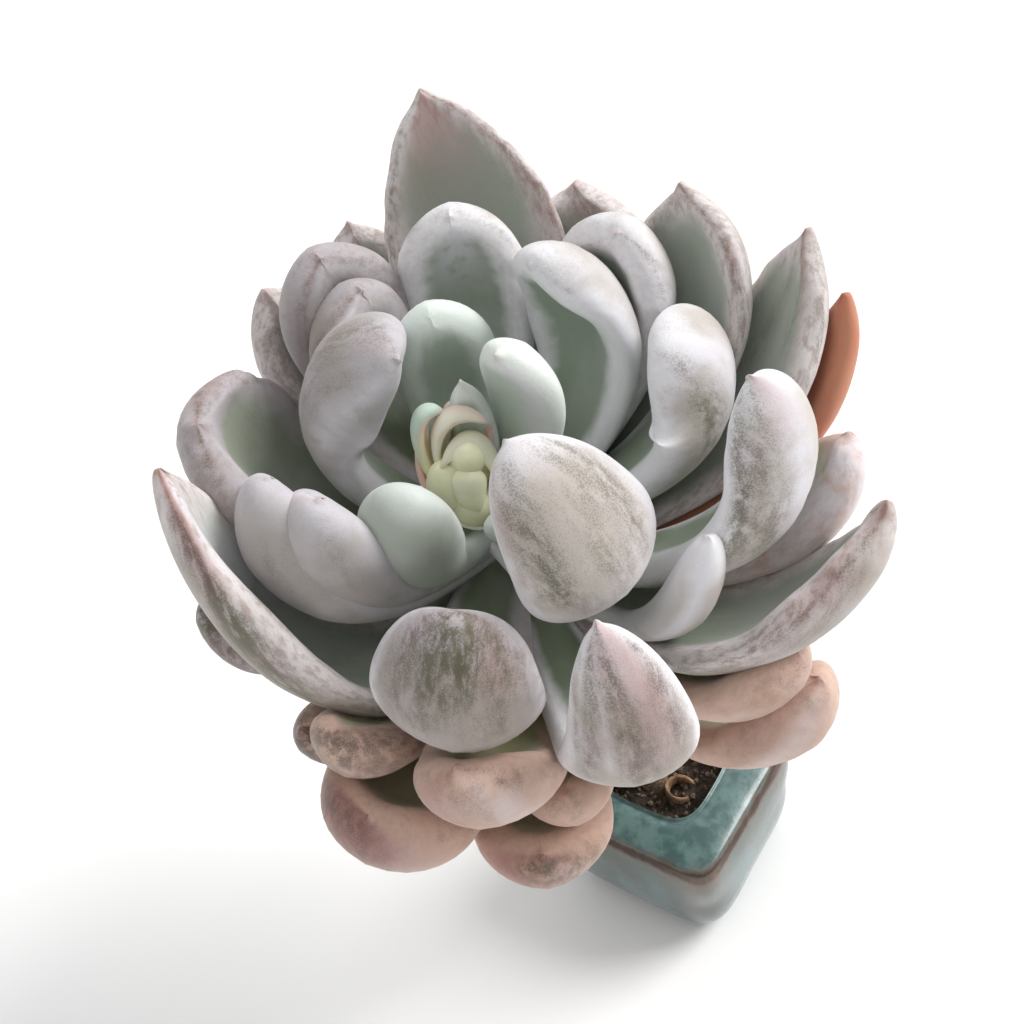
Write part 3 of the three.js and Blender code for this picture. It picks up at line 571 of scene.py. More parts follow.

# A mark on a leaf runs from one place to another. A place is the degrees around the leaf, from the rim
# on its left as seen from the heart over the inner face (90) and the other rim (180) to the back (270),
# and the share of the way from foot to tip. Then come the mark's half width in degrees and its strength.
# On the shoot, red marks are pink and dark ones are orange-brown painted shade. The whole way from foot to
# tip counts as
# LONG_TO_ROUND degrees.
Mark = namedtuple("Mark", "kind around_1 along_1 around_2 along_2 wide strength")
RED, DARK, PALE = range(3)
LONG_TO_ROUND = 130
MARKS = {name: [Mark(*row) for row in rows] for name, rows in {
    "leaf_inner_06": [(DARK, 292, 0.93, 283, 0.68, 7, 1.0), (DARK, 277, 0.93, 268, 0.63, 4, 0.8),
        (DARK, 250, 0.93, 243, 0.74, 8, 0.8), (DARK, 258, 0.6, 240, 0.7, 7, 0.6),
        (DARK, 268, 0.86, 262, 0.72, 5, 0.4), (RED, 226, 0.97, 220, 0.8, 18, 0.5),
        (DARK, 236, 0.93, 230, 0.78, 13, 0.45), (RED, 275, 0.97, 262, 0.9, 8, 0.2),
        (PALE, 322, 0.97, 315, 0.65, 18, 1.0)],
    "leaf_middle_05": [(DARK, 246, 0.94, 250, 0.8, 7, 0.95), (DARK, 270, 0.98, 262, 0.87, 5, 0.95),
        (DARK, 284, 0.97, 262, 0.78, 5, 0.9), (DARK, 300, 0.95, 290, 0.78, 6, 0.85),
        (DARK, 318, 0.94, 312, 0.84, 5, 0.6), (DARK, 230, 0.93, 236, 0.84, 5, 0.5),
        (RED, 297, 0.98, 292, 0.93, 9, 0.9), (DARK, 256, 0.965, 302, 0.965, 12, 0.8),
        (PALE, 212, 0.95, 222, 0.75, 9, 0.9), (PALE, 342, 0.95, 332, 0.78, 12, 0.8)],
    "leaf_middle_06": [(DARK, 246, 0.95, 240, 0.74, 7, 1.15), (DARK, 266, 0.94, 271, 0.76, 9, 1.2),
        (DARK, 308, 0.95, 300, 0.85, 8, 0.95), (DARK, 222, 0.93, 228, 0.8, 5, 0.8),
        (RED, 285, 0.99, 270, 0.965, 22, 0.5), (PALE, 340, 0.93, 335, 0.75, 10, 0.8),
        (RED, 290, 0.9, 285, 0.8, 12, 0.25), (PALE, 254, 0.9, 254, 0.78, 3, 0.5)],
    "leaf_outer_04": [(RED, 340, 0.998, 330, 0.98, 14, 0.8), (DARK, 330, 0.97, 302, 0.66, 9, 0.95),
        (DARK, 312, 0.9, 288, 0.6, 7, 0.75), (DARK, 290, 0.8, 270, 0.6, 8, 0.5),
        (PALE, 2, 0.95, 350, 0.55, 12, 0.7), (RED, 318, 0.9, 312, 0.8, 9, 0.2)],
    "leaf_outer_05": [(RED, 200, 0.995, 200, 0.97, 26, 0.8), (DARK, 210, 0.95, 206, 0.5, 13, 0.9),
        (DARK, 235, 0.85, 230, 0.55, 9, 0.6), (DARK, 190, 0.85, 186, 0.6, 5, 0.5),
        (PALE, 165, 0.9, 150, 0.5, 9, 0.7), (PALE, 175, 0.78, 176, 0.66, 7, 0.6)],
    "leaf_outer_02": [(RED, 110, 0.995, 60, 0.975, 18, 0.6), (DARK, 172, 0.97, 172, 0.72, 11, 0.85),
        (RED, 168, 0.96, 165, 0.72, 14, 0.45), (DARK, 15, 0.92, 15, 0.72, 10, 0.5),
        (DARK, 130, 0.93, 145, 0.76, 8, 0.3), (PALE, 178, 0.88, 180, 0.84, 6, 0.8)],
    "leaf_middle_10": [(RED, 235, 0.985, 215, 0.93, 14, 0.55), (DARK, 312, 0.985, 312, 0.88, 9, 0.6),
        (DARK, 228, 0.98, 205, 0.88, 8, 0.7), (DARK, 160, 0.88, 172, 0.78, 8, 0.4),
        (DARK, 186, 0.97, 176, 0.88, 20, 0.5), (RED, 312, 0.985, 320, 0.94, 10, 0.3),
        (PALE, 268, 0.985, 275, 0.9, 10, 0.15)],
    "leaf_outer_03": [(DARK, 134, 0.96, 115, 0.8, 10, 0.6), (RED, 150, 0.99, 140, 0.95, 16, 0.6),
        (DARK, 200, 0.92, 200, 0.72, 9, 0.7), (DARK, 92, 0.95, 80, 0.7, 7, 0.6),
        (DARK, 60, 0.92, 50, 0.8, 7, 0.4)],
    "leaf_outer_01": [(RED, 175, 0.99, 178, 0.9, 14, 0.6), (DARK, 172, 0.95, 180, 0.66, 10, 0.8),
        (DARK, 60, 0.975, 30, 0.85, 12, 0.5), (PALE, 190, 0.88, 190, 0.8, 8, 0.7)],
    "leaf_middle_09": [(DARK, 218, 0.9, 228, 0.58, 13, 1.15), (DARK, 246, 0.96, 240, 0.86, 10, 0.7),
        (RED, 264, 0.99, 262, 0.97, 12, 0.6), (PALE, 264, 0.92, 263, 0.76, 12, 1.0),
        (DARK, 248, 0.68, 260, 0.56, 11, 0.9)],
    # The second dark mark of leaf_middle_02 is painted shade along its edge, drawn as a dark speckled tint
    "leaf_middle_02": [(DARK, 264, 0.96, 258, 0.95, 4, 0.8), (DARK, 251, 0.84, 249, 0.6, 9, 1.2),
        (PALE, 274, 0.95, 272, 0.7, 13, 0.9)],
    "leaf_middle_08": [(DARK, 225, 0.975, 205, 0.86, 6, 0.7), (PALE, 192, 0.94, 185, 0.65, 12, 0.7),
        (PALE, 20, 0.97, 15, 0.8, 12, 0.7), (DARK, 30, 0.97, 20, 0.88, 5, 0.4)],
    "leaf_inner_05": [(DARK, 252, 0.985, 258, 0.96, 16, 0.35), (DARK, 262, 0.88, 280, 0.7, 7, 0.6),
        (DARK, 286, 0.93, 284, 0.75, 5, 0.5), (PALE, 302, 0.93, 300, 0.65, 11, 0.7),
        (DARK, 250, 0.96, 256, 0.86, 5, 0.4), (RED, 262, 0.97, 255, 0.8, 10, 0.2)],
    "leaf_middle_04": [(DARK, 318, 0.98, 318, 0.82, 9, 0.6), (RED, 316, 0.98, 316, 0.86, 13, 0.25),
        (PALE, 345, 0.97, 345, 0.8, 12, 0.6)],
    # The broad pale mark of leaf_inner_02 is partly its bloom, partly painted light on its face
    "leaf_inner_02": [(PALE, 142, 0.92, 128, 0.6, 24, 0.8)],
    "leaf_middle_11": [(DARK, 182, 0.97, 175, 0.8, 20, 0.5), (DARK, 2, 0.975, 6, 0.84, 9, 0.6),
        (RED, 0, 0.98, 4, 0.88, 14, 0.35), (PALE, 40, 0.97, 50, 0.85, 16, 0.2)],
    "leaf_lower_06": [(RED, 212, 0.985, 284, 0.985, 20, 0.75), (DARK, 215, 0.98, 262, 0.975, 16, 0.75),
        (PALE, 290, 0.93, 285, 0.8, 12, 0.35)],
    "leaf_lower_01": [(DARK, 318, 0.96, 330, 0.9, 9, 0.4), (RED, 250, 0.985, 240, 0.96, 14, 0.4),
        (PALE, 290, 0.9, 290, 0.75, 12, 0.4), (DARK, 307, 0.945, 308, 0.94, 2, 1.0)],
    "leaf_lower_04": [(RED, 222, 0.98, 212, 0.84, 18, 0.35), (DARK, 200, 0.97, 196, 0.88, 8, 0.5),
        (PALE, 250, 0.92, 245, 0.75, 12, 0.4)],
    "leaf_lower_08": [(RED, 225, 0.98, 300, 0.97, 22, 0.7), (DARK, 250, 0.98, 300, 0.96, 18, 0.7),
        (PALE, 285, 0.95, 285, 0.8, 14, 0.35)],
    # The broad dark marks of leaf_lower_03, leaf_lower_05 and leaf_lower_09 are painted shade on the lower
    # leaves away from the light, drawn as a dark speckled tint
    "leaf_lower_03": [(DARK, 340, 0.95, 240, 0.93, 40, 0.9)],
    "leaf_lower_05": [(DARK, 280, 0.95, 270, 0.7, 60, 1.6)],
    "leaf_lower_09": [(DARK, 300, 0.97, 240, 0.9, 60, 2.2), (RED, 250, 0.98, 240, 0.92, 30, 0.5)],
    "leaf_middle_01": [(DARK, 198, 0.95, 190, 0.88, 6, 0.5), (PALE, 100, 0.995, 80, 0.985, 30, 0.8)],
    "leaf_inner_08": [(DARK, 214, 0.97, 210, 0.95, 3, 0.4), (PALE, 200, 0.9, 198, 0.6, 11, 1.0)],
    "leaf_inner_07": [(RED, 240, 0.985, 225, 0.93, 16, 0.2), (DARK, 292, 0.9, 290, 0.72, 9, 0.45),
        (PALE, 225, 0.98, 215, 0.85, 9, 0.7)],
    "leaf_inner_03": [(DARK, 270, 0.9, 270, 0.5, 60, -0.6), (DARK, 290, 0.88, 284, 0.75, 10, 0.75)],
    "leaf_middle_03": [(PALE, 215, 0.98, 235, 0.8, 16, 0.6), (DARK, 283, 0.8, 283, 0.6, 8, 0.4)],
    "leaf_middle_07": [(DARK, 270, 0.9, 270, 0.5, 70, -0.6), (PALE, 250, 0.95, 240, 0.7, 10, 1.0)],
    # The broad pale marks of leaf_outer_08 are partly its paler bloom, partly painted light on the side the
    # light falls on
    "leaf_outer_08": [(PALE, 270, 0.95, 270, 0.4, 70, 0.8), (PALE, 150, 0.95, 120, 0.4, 60, 0.9)],
    "leaf_outer_06": [(DARK, 60, 0.97, 30, 0.8, 20, 0.6), (RED, 60, 0.98, 40, 0.92, 20, 0.4)],
    "leaf_outer_07": [(DARK, 140, 0.97, 100, 0.9, 20, 0.5), (RED, 140, 0.99, 90, 0.95, 20, 0.4)],
    "leaf_outer_10": [(DARK, 90, 0.98, 80, 0.92, 20, 0.5), (RED, 90, 0.99, 80, 0.95, 20, 0.4)],
    # The hood's dark mark is orange-brown painted shade inside its curl
    "shoot_hood": [(RED, 90, 0.995, 90, 0.94, 40, 0.4), (DARK, 40, 0.7, 60, 0.4, 16, 0.12),
        (PALE, 270, 0.8, 270, 0.4, 50, 0.6)],
    "shoot_beak": [(RED, 270, 0.99, 270, 0.96, 30, 0.45), (PALE, 270, 0.9, 270, 0.6, 40, 0.8)],
    "shoot_left_bract": [(RED, 90, 0.99, 90, 0.85, 60, 0.7)],
    "shoot_outer_bract": [(RED, 90, 0.99, 90, 0.5, 60, 0.3)],
    "shoot_lobe": [(RED, 180, 0.95, 180, 0.5, 24, 0.35), (PALE, 270, 0.8, 270, 0.5, 40, 0.3)],
}.items()}


def mark_strengths(name, around, along):
    """How strong the red, dark and pale marks of a leaf are at one of its places."""
    strengths = [0.0, 0.0, 0.0]
    for mark in MARKS.get(name, ()):
        run = Vector((mark.around_2 - mark.around_1, (mark.along_2 - mark.along_1) * LONG_TO_ROUND))
        off = Vector(((around - mark.around_1 + 180) % 360 - 180, (along - mark.along_1) * LONG_TO_ROUND))
        t = clamp(off.dot(run) / max(run.length_squared, 0.01))
        near = math.exp(-(((off - run * t).length / mark.wide) ** 2))
        strengths[mark.kind] += mark.strength * near
    return strengths


def leaf_layers(bm):
    """What a leaf's skin reads at each point: its place in the section, its marks and its place along."""
    return [bm.verts.layers.float_vector.new("leaf_" + part) for part in ("form", "marks", "place")]


def spoon_width(along, roundness):
    """A leaf's width as a share of its widest, at a place along it."""
    if along < WIDEST:
        return FOOT_WIDTH + (1 - FOOT_WIDTH) * smooth(along, -0.05, WIDEST)
    return max(0.0, 1 - ((along - WIDEST) / (1 - WIDEST)) ** roundness) ** (1 / roundness)


def spoon_thickness(along):
    """A leaf's thickness as a share of its full one, at a place along it."""
    fat = FOOT_THICKNESS + (1 - FOOT_THICKNESS) * smooth(along, 0, 0.5)
    fat += END_SWELL * smooth(along, 0.4, 0.85)
    if along < THICKEST:
        return fat
    return fat * max(0.0, 1 - ((along - THICKEST) / (1 - THICKEST)) ** BLUNT_END) ** (1 / BLUNT_END)


def ring_place(even, roundness):
    """Spreads the rings so that half of them follow the round end and crowd at the tip's point."""
    if even < 0.5:
        return WIDEST * even / 0.5
    left = 1 - (even - 0.5) / 0.5
    angle = 0.5 * math.pi * (1 - left**1.5)
    return WIDEST + (1 - WIDEST) * math.sin(angle) ** (2 / roundness)


def spoon_leaf(name, number, form, centre_at, side_at, finish, slot, node, steps):
    """A fleshy leaf: a cupped spoon section drawn along a midrib, all in rosette coordinates."""
    length = path_length(centre_at)
    records = {}

    def place(even, around, vert):
        along = ring_place(even, form.end)
        ahead = onward(centre_at, along).normalized()
        side = side_at(along)
        side = (side - ahead * side.dot(ahead)).normalized()
        side.rotate(Matrix.Rotation(math.radians(form.turn), 3, ahead))
        face = ahead.cross(side)

        # A rounded section with rippled and scalloped rims, bent into a cup
        wave, depth = math.cos(around), math.sin(around)
        across = fuller(wave, RIM_FULLNESS)
        through = fuller(depth, FACE_FULLNESS)
        rim = spoon_thickness(along) * form.thickness * 0.5
        half = max(spoon_width(along, form.end) * form.width * 0.5 - form.thickness * 0.2, rim * 0.5)
        edge = math.copysign(3, wave)
        ripple = noise.noise(Vector((along * 5, edge, number * 7.3)))
        half *= 1 + RIPPLE * form.waves * ripple * abs(wave)
        scallop = noise.noise(Vector((along * 16, edge, number * 5.7)))
        half += SCALLOP * form.scallops * scallop * wave**4 * smooth(along, 0.45, 0.75) * smooth(half, 1, 6)
        bend = math.radians(form.cup) * min(1, FOOT_CUP + along)
        lean = bend * across
        point = centre_at(along) + side * (half / bend - through * rim) * math.sin(lean)
        point += face * (half / bend * (1 - math.cos(lean)) + math.cos(lean) * through * rim)

        # Fluttering margins, a dished face, a flatter back, the small point at the end, and dents
        flutter = noise.noise(Vector((along * 7, edge * 2, number * 3.1)))
        point += face * (FLUTTER * form.waves * flutter * abs(wave) ** 3 * smooth(along, 0.3, 0.7))
        hollow = (1 - across**2) * smooth(along, 0.25, 0.6) * smooth(along, 1, 0.9)
        if depth > 0:
            point -= face * DISH * form.thickness * hollow
        else:
            point -= face * (FLAT_BACK * form.thickness * (1 - abs(across)) ** 2 * smooth(along, 0.3, 0.8))
        from_middle = Vector((half * across, rim * through))
        point_shape = math.exp(-((from_middle.length / form.point_radius) ** 2)) * smooth(along, 0.9, 1)
        point += ahead * form.point_height * point_shape
        dents = noise.noise(point * 0.06 + Vector((number * 11.7, 0, 0)))
        point += (side * wave + face * depth) * DENT * dents * smooth(along, 0.2, 0.6) * smooth(rim, 0, 2)

        red, dark, pale = mark_strengths(name, math.degrees(around) % 360, along)
        marks = (red + 0.5 * point_shape * min(1, form.point_height), dark, pale)
        records[vert.index] = ((wave, depth, along), marks, (*from_middle, along * length))
        return ROSETTE @ point * MM

    bm = drawn_out(*steps, place)
    leaf_form, leaf_marks, leaf_place = leaf_layers(bm)
    apart = Vector((0, 0, number * APART))
    for vert in bm.verts:
        shape, marks, spot = records[vert.index]
        vert[leaf_form] = shape
        vert[leaf_marks] = marks
        vert[leaf_place] = (Vector(spot) + apart) * MM
    return piece(bm, name, finish, slot, node)


def grown_leaf(leaf, number, finish, slot, node, foot=Vector((0, 0, 0)), steps=LEAF_STEPS):
    """A leaf whose midrib stays in the upright plane of its azimuth, which swings a little."""
    reaches = (1, leaf.r1, leaf.r2, leaf.r3)
    heights = (leaf.base, leaf.h1, leaf.h2, leaf.h3)
    bends = [Vector(bend) for bend in zip(reaches, heights)]

    def angle_at(t):
        return math.radians(leaf.azimuth + leaf.swing * t * t)

    def centre_at(t):
        r, h = bezier(bends, t)
        return foot + Vector((r * math.cos(angle_at(t)), r * math.sin(angle_at(t)), h))

    def side_at(t):
        return Vector((-math.sin(angle_at(t)), math.cos(angle_at(t)), 0))

    form = Form(leaf.width, leaf.thickness, leaf.cup, leaf.turn, leaf.end, *HABITS[leaf.group])
    if leaf.name in BLUNT_LEAVES:
        form = form._replace(point_height=0)
    return spoon_leaf(leaf.name, number, form, centre_at, side_at, finish, slot, node, steps)


# The young flower shoot beside the heart. Each bract: the four points that bend its midrib, in rosette
# coordinates from foot to tip, then width, thickness, cup, bluntness of its end, and its skin
BUD_MIDDLE = Vector((-2.6, 2.2, 15))
Bract = namedtuple("Bract", "name bends width thickness cup end skin")
BRACTS = [Bract(*row) for row in [
    ("shoot_beak", ((-4, -0.5, 2), (-10, 3, 9), (-8, 13, 29.5), (3, 5.2, 23.5)),
        7.5, 2.4, 60, 1.6, "cream"),
    ("shoot_left_bract", ((-5, 0, 2), (-12.5, 4, 11), (-11.5, 12, 28.5), (-4.5, 9, 25)),
        6.5, 2.6, 55, 2.3, "blue"),
    ("shoot_back_bract", ((-3, 1, 4), (-4, 8, 12), (-4, 13.5, 24), (-1, 12, 21)),
        5, 2, 50, 2.2, "rose"),
    ("shoot_pointed_bract", ((-1, 1, 5), (0.5, 6, 9), (1.5, 8, 14), (4, 7, 18.6)),
        5.5, 1.6, 50, 1.5, "rose"),
    ("shoot_outer_bract", ((-3, -4, 1), (-10, -3, 3), (-14, 7, 9), (-9.5, 10.5, 18)),
        6.5, 1.8, 45, 1.7, "rose"),
    ("shoot_hood", ((-2, -1.5, 2), (7, -1, 10), (3.5, 9, 27.5), (-7, 1.5, 18)),
        10, 1.9, 75, 1.5, "yellow"),
    ("shoot_lobe", ((-3, -3, 4), (-4.5, -3.5, 9), (-3.4, -2, 14.5), (-2, 0.6, 17)),
        8.5, 3.4, 30, 2.2, "yellow"),
]]


def shoot_bract(bract, number):
    """A bract that curls round the bud, with its inner face turned to it."""
    bends = [Vector(bend) for bend in bract.bends]

    def centre_at(t):
        return bezier(bends, t)

    def side_at(t):
        return (BUD_MIDDLE - centre_at(t)).cross(onward(centre_at, t)).normalized()

    form = Form(bract.width, bract.thickness, bract.cup, 0, bract.end, *HABITS["shoot"])
    finish = BRACT_SKINS[bract.skin]
    return spoon_leaf(
        bract.name, number, form, centre_at, side_at, finish, "shoot", "young_shoot", BRACT_STEPS)


# The plump round parts of the shoot and of the heart: middle, then half sizes, in rosette coordinates
HEART_MIDDLE = Vector((3, -1, 0))
BUD_FORMS = {
    "heart_bud": (HEART_MIDDLE, Vector((4, 4, 4))),
    "shoot_bud": (Vector((-2.2, 2.6, 13.5)), Vector((4.2, 3.6, 7))),
    "shoot_bud_tip": (Vector((-1.7, 1.4, 18.3)), Vector((3.4, 2.8, 4.2))),
    "shoot_belly": (Vector((-7.2, 1.8, 10)), Vector((4.6, 4.2, 8))),
    "shoot_stalk": (Vector((-3.6, -1, 5.5)), Vector((4.4, 3.8, 6.5))),
}


def bud_piece(name, number, finish, slot, node):
    """A small closed bud, plump below its middle."""
    middle, size = BUD_FORMS[name]
    records = {}

    def place(even, around, vert):
        out = Vector((math.cos(around), math.sin(around), 0)) * math.sin(even * math.pi)
        out.z = -math.cos(even * math.pi)
        records[vert.index] = (out, even)
        bump = 1 + 0.05 * noise.noise(out * 1.7 + Vector((number, 0, 0)))
        return ROSETTE @ (middle + out * size * bump) * MM

    bm = drawn_out(*BUD_STEPS, place)
    leaf_form, _, leaf_place = leaf_layers(bm)
    for vert in bm.verts:
        out, even = records[vert.index]
        vert[leaf_form] = (0, 1, even)
        vert[leaf_place] = (out * 4 + Vector((0, 0, number * APART))) * MM
    return piece(bm, name, finish, slot, node)


# The tiny leaves of the heart, in the terms of the table of leaves, round a small bud
HEART_LEAVES = [Leaf(*row, group="young") for row in [
    ("heart_leaf_01", 335, 0, -2, 7, 0, 8, 7, 4, 11, 8, 4, 20),
    ("heart_leaf_02", 60, 0, -2, 7, 0, 8, 7, 5, 12, 8, 4, 20),
    ("heart_leaf_03", 250, 0, -2, 8, 0, 9, 6, 8, 11, 8, 4, 20),
]]


# The pot

# Its profile, as width and height, from the edge of the recess under its foot to the floor inside it
POT_RECESS = 1.0
POT_PROFILE = [
    (POT_FOOT - 4, POT_RECESS), (POT_FOOT - 3, 0), (POT_FOOT, 0), (POT_FOOT + 3, 1.2),
    (POT_BELLY - 3, 6.5), (POT_BELLY - 0.4, 12), (POT_BELLY, 18), (POT_BELLY, 26),
    (POT_RIDGE, POT_HEIGHT - 4.5), (POT_RIDGE - 0.8, POT_HEIGHT - 3), (POT_RIDGE - 3, POT_HEIGHT - 1.6),
    (POT_MOUTH + 8, POT_HEIGHT), (POT_MOUTH + 2, POT_HEIGHT - 0.5), (POT_MOUTH, POT_HEIGHT - 2),
    (POT_INSIDE_FOOT, POT_FLOOR),
]
# How many facets it has around it and in each stretch of the profile, how near the axis it closes,
# and how far the hand-made wall swells and sinks
POT_FACETS = 128
POT_PROFILE_STEPS = 4
POT_POLE = 0.02
POT_LUMPS = 0.35
POT_PLACE = Matrix.Scale(MM, 4) @ Matrix.Rotation(math.radians(POT_YAW), 4, "Z")


def smoothed(profile, steps):
    """The profile with each stretch cut into steps along a smooth curve through its points."""
    points = [Vector(p) for p in profile]
    out = []
    for i in range(len(points) - 1):
        before = points[max(i - 1, 0)]
        a, b = points[i], points[i + 1]
        after = points[min(i + 2, len(points) - 1)]
        for k in range(steps):
            t = k / steps
            out.append(
                0.5 * ((2 * a) + (b - before) * t + (2 * before - 5 * a + 4 * b - after) * t * t
                       + (3 * a - before - 3 * b + after) * t**3))
    out.append(points[-1])
    return out


def squared(co, squareness):
    """How far out a round outline's point goes to make the outline a rounded square."""
    angle = math.atan2(co.y, co.x)
    c, s = abs(math.cos(angle)), abs(math.sin(angle))
    return (c**squareness + s**squareness) ** (-1 / squareness)


def pot_piece():
    bm = bmesh.new()
    profile = smoothed(POT_PROFILE, POT_PROFILE_STEPS)
    profile = [Vector((POT_POLE, POT_RECESS)), *profile, Vector((POT_POLE, POT_FLOOR))]
    verts = [bm.verts.new((p.x / 2, 0, p.y)) for p in profile]
    edges = [bm.edges.new(pair) for pair in zip(verts, verts[1:])]
    bmesh.ops.spin(
        bm, geom=verts + edges, axis=(0, 0, 1), cent=(0, 0, 0),
        steps=POT_FACETS, angle=2 * math.pi, use_merge=True)
    bmesh.ops.remove_doubles(bm, verts=bm.verts, dist=1.5 * POT_POLE)
    glaze = bm.verts.layers.float_vector.new("glaze")
    for vert in bm.verts:
        across = 2 * Vector(vert.co[:2]).length
        inside = smooth(across, POT_MOUTH + 12, POT_MOUTH + 3)
        high = smooth(vert.co.z, 17, POT_HEIGHT - 5) * smooth(across, POT_RIDGE - 5, POT_RIDGE - 2)
        squareness = POT_SQUARENESS + (RIDGE_SQUARENESS - POT_SQUARENESS) * high
        out = squared(vert.co, squareness + (MOUTH_SQUARENESS - squareness) * inside)
        corner = smooth(out, 1.05, 1.3)
        ridge = math.exp(-(((vert.co.z - (POT_HEIGHT - 4)) / 2) ** 2))
        ridge *= smooth(across, POT_RIDGE - 8, POT_RIDGE - 3)
        shoulder = smooth(vert.co.z, POT_HEIGHT - 3.8, POT_HEIGHT - 2.6)
        vert[glaze] = (ridge * (0.75 + 0.25 * corner), shoulder, corner)
        vert.co.x *= out
        vert.co.y *= out
        lump = noise.noise(vert.co * 0.05) * smooth(vert.co.z, 1, 5)
        vert.co += Vector((vert.co.x, vert.co.y, 0)).normalized() * POT_LUMPS * lump
        vert.co.z = max(vert.co.z, 0.0)
    set_in_place(bm, POT_PLACE)
    return piece(bm, "glazed_pot", GLAZE, "pot_glaze", "pot")


# The soil: its lumps, as height and fineness, how many cells its top has each way, how much narrower
# than the mouth it is, and the share of that width which it has at the pot's floor
SOIL_LUMPS = ((0.8, 0.25), (0.5, 0.8), (0.2, 2.1))
SOIL_CELLS = 56
SOIL_GAP = 0.2
SOIL_TAPER = 0.88


def soil_height(x, y):
    """The soil's crumbly top, for a place in the pot's own square."""
    height = SOIL_LEVEL
    for lump, fineness in SOIL_LUMPS:
        height += lump * noise.noise(Vector((x, y, 0)) * fineness)
    return height


def soil_piece():
    bm = bmesh.new()
    side = (POT_MOUTH - SOIL_GAP) / 2
    bmesh.ops.create_grid(bm, x_segments=SOIL_CELLS, y_segments=SOIL_CELLS, size=1)
    for vert in bm.verts:
        reach = max(abs(vert.co.x), abs(vert.co.y))
        if reach > 0:
            flat = Vector((vert.co.x, vert.co.y, 0)).normalized() * reach
            vert.co = flat * squared(flat, MOUTH_SQUARENESS) * side
        vert.co.z = soil_height(vert.co.x, vert.co.y)
    rim = [e for e in bm.edges if e.is_boundary]
    wall = bmesh.ops.extrude_edge_only(bm, edges=rim)
    for vert in wall["geom"]:
        if isinstance(vert, bmesh.types.BMVert):
            vert.co = Vector((vert.co.x * SOIL_TAPER, vert.co.y * SOIL_TAPER, POT_FLOOR + 0.3))
    bmesh.ops.holes_fill(bm, edges=[e for e in bm.edges if e.is_boundary], sides=0)
    set_in_place(bm, POT_PLACE)
    return piece(bm, "potting_soil", SOIL, "soil", "soil")


# The crumbs: how many, the smallest and largest radius, how far from the pot's wall they stay,
# and the seed of the draw that places them
GRIT_COUNT = 130
GRIT_SIZES = (0.35, 1.1)
GRIT_MARGIN = 1.4
GRIT_SEED = 7


def grit_piece():
    """Crumbs and small stones that lie half sunk in the soil."""
    bm = bmesh.new()
    draw = random.Random(GRIT_SEED)
    reach = POT_MOUTH / 2 - GRIT_MARGIN
    for _ in range(GRIT_COUNT):
        x, y = draw.uniform(-reach, reach), draw.uniform(-reach, reach)
        size = draw.uniform(*GRIT_SIZES)
        angle = draw.uniform(0, 6.28)
        axis = Vector((draw.random(), draw.random(), 0.3)).normalized()
        shape = Matrix.Diagonal((size, size * draw.uniform(0.6, 0.9), size * draw.uniform(0.45, 0.8), 1))
        place = Matrix.Translation((x, y, soil_height(x, y) + size * 0.15))
        matrix = place @ Matrix.Rotation(angle, 4, axis) @ shape
        crumb = bmesh.ops.create_icosphere(bm, subdivisions=1, radius=1, matrix=matrix)
        for vert in crumb["verts"]:
            vert.co += Vector((draw.uniform(-1, 1), draw.uniform(-1, 1), draw.uniform(-1, 1))) * size * 0.12
    set_in_place(bm, POT_PLACE)
    crumbs = piece(bm, "soil_crumbs", GRIT, "soil")
    crumbs.data.polygons.foreach_set("use_smooth", [False] * len(crumbs.data.polygons))
    return crumbs


# The stem: how many rings of old leaf scars it has along its length, how far they stand out,
# the share of it below its straight stretch, and how many facets it has around and along it
SCAR_RINGS = 24
SCAR_DEPTH = 0.3
STEM_BENT_SHARE = 0.68
STEM_STEPS = (32, 200)


def stem_piece():
    bend, knee, top = [ROSETTE @ Vector((0, 0, -depth)) for depth in (STEM_BEND, STEM_STRAIGHT, STEM_TOP)]

    def path(t):
        if t < STEM_BENT_SHARE:
            return bezier([STEM_ROOT, STEM_RISE, bend, knee], t / STEM_BENT_SHARE)
        return knee.lerp(top, (t - STEM_BENT_SHARE) / (1 - STEM_BENT_SHARE))

    def place(even, around, vert):
        ahead = onward(path, even).normalized()
        side = (Vector((1, 0, 0)) - ahead * ahead.x).normalized()
        face = ahead.cross(side)
        ends = math.sqrt(clamp(min(even, 1 - even) / 0.02))
        wander = 0.5 * noise.noise(path(even) * 0.3 + side * math.cos(around) * 2)
        scars = SCAR_DEPTH * math.sin(even * SCAR_RINGS * 2 * math.pi + 2 * math.sin(around) + 3 * wander)
        bark = 0.2 * noise.noise(Vector((math.cos(around) * 4, math.sin(around) * 4, even * 40)))
        radius = (STEM_RADIUS * (1.1 - 0.25 * even) + scars + wander + bark) * ends
        return (path(even) + (side * math.cos(around) + face * math.sin(around)) * radius) * MM

    return piece(drawn_out(*STEM_STEPS, place), "woody_stem", BARK, "stem_bark", "stem")


# The dry leaf that lies curled on the soil: its middle, then radius, height and thickness of the curl,
# the degrees between which it curls, and its facets along the curl
DRY_LEAF_PLACE = Vector((1.8, -5.8, 30.3))
DRY_LEAF_RADIUS = 4.6
DRY_LEAF_HEIGHT = 4
DRY_LEAF_THICKNESS = 0.9
DRY_LEAF_ARC = (20, 300)
DRY_LEAF_STEPS = 44


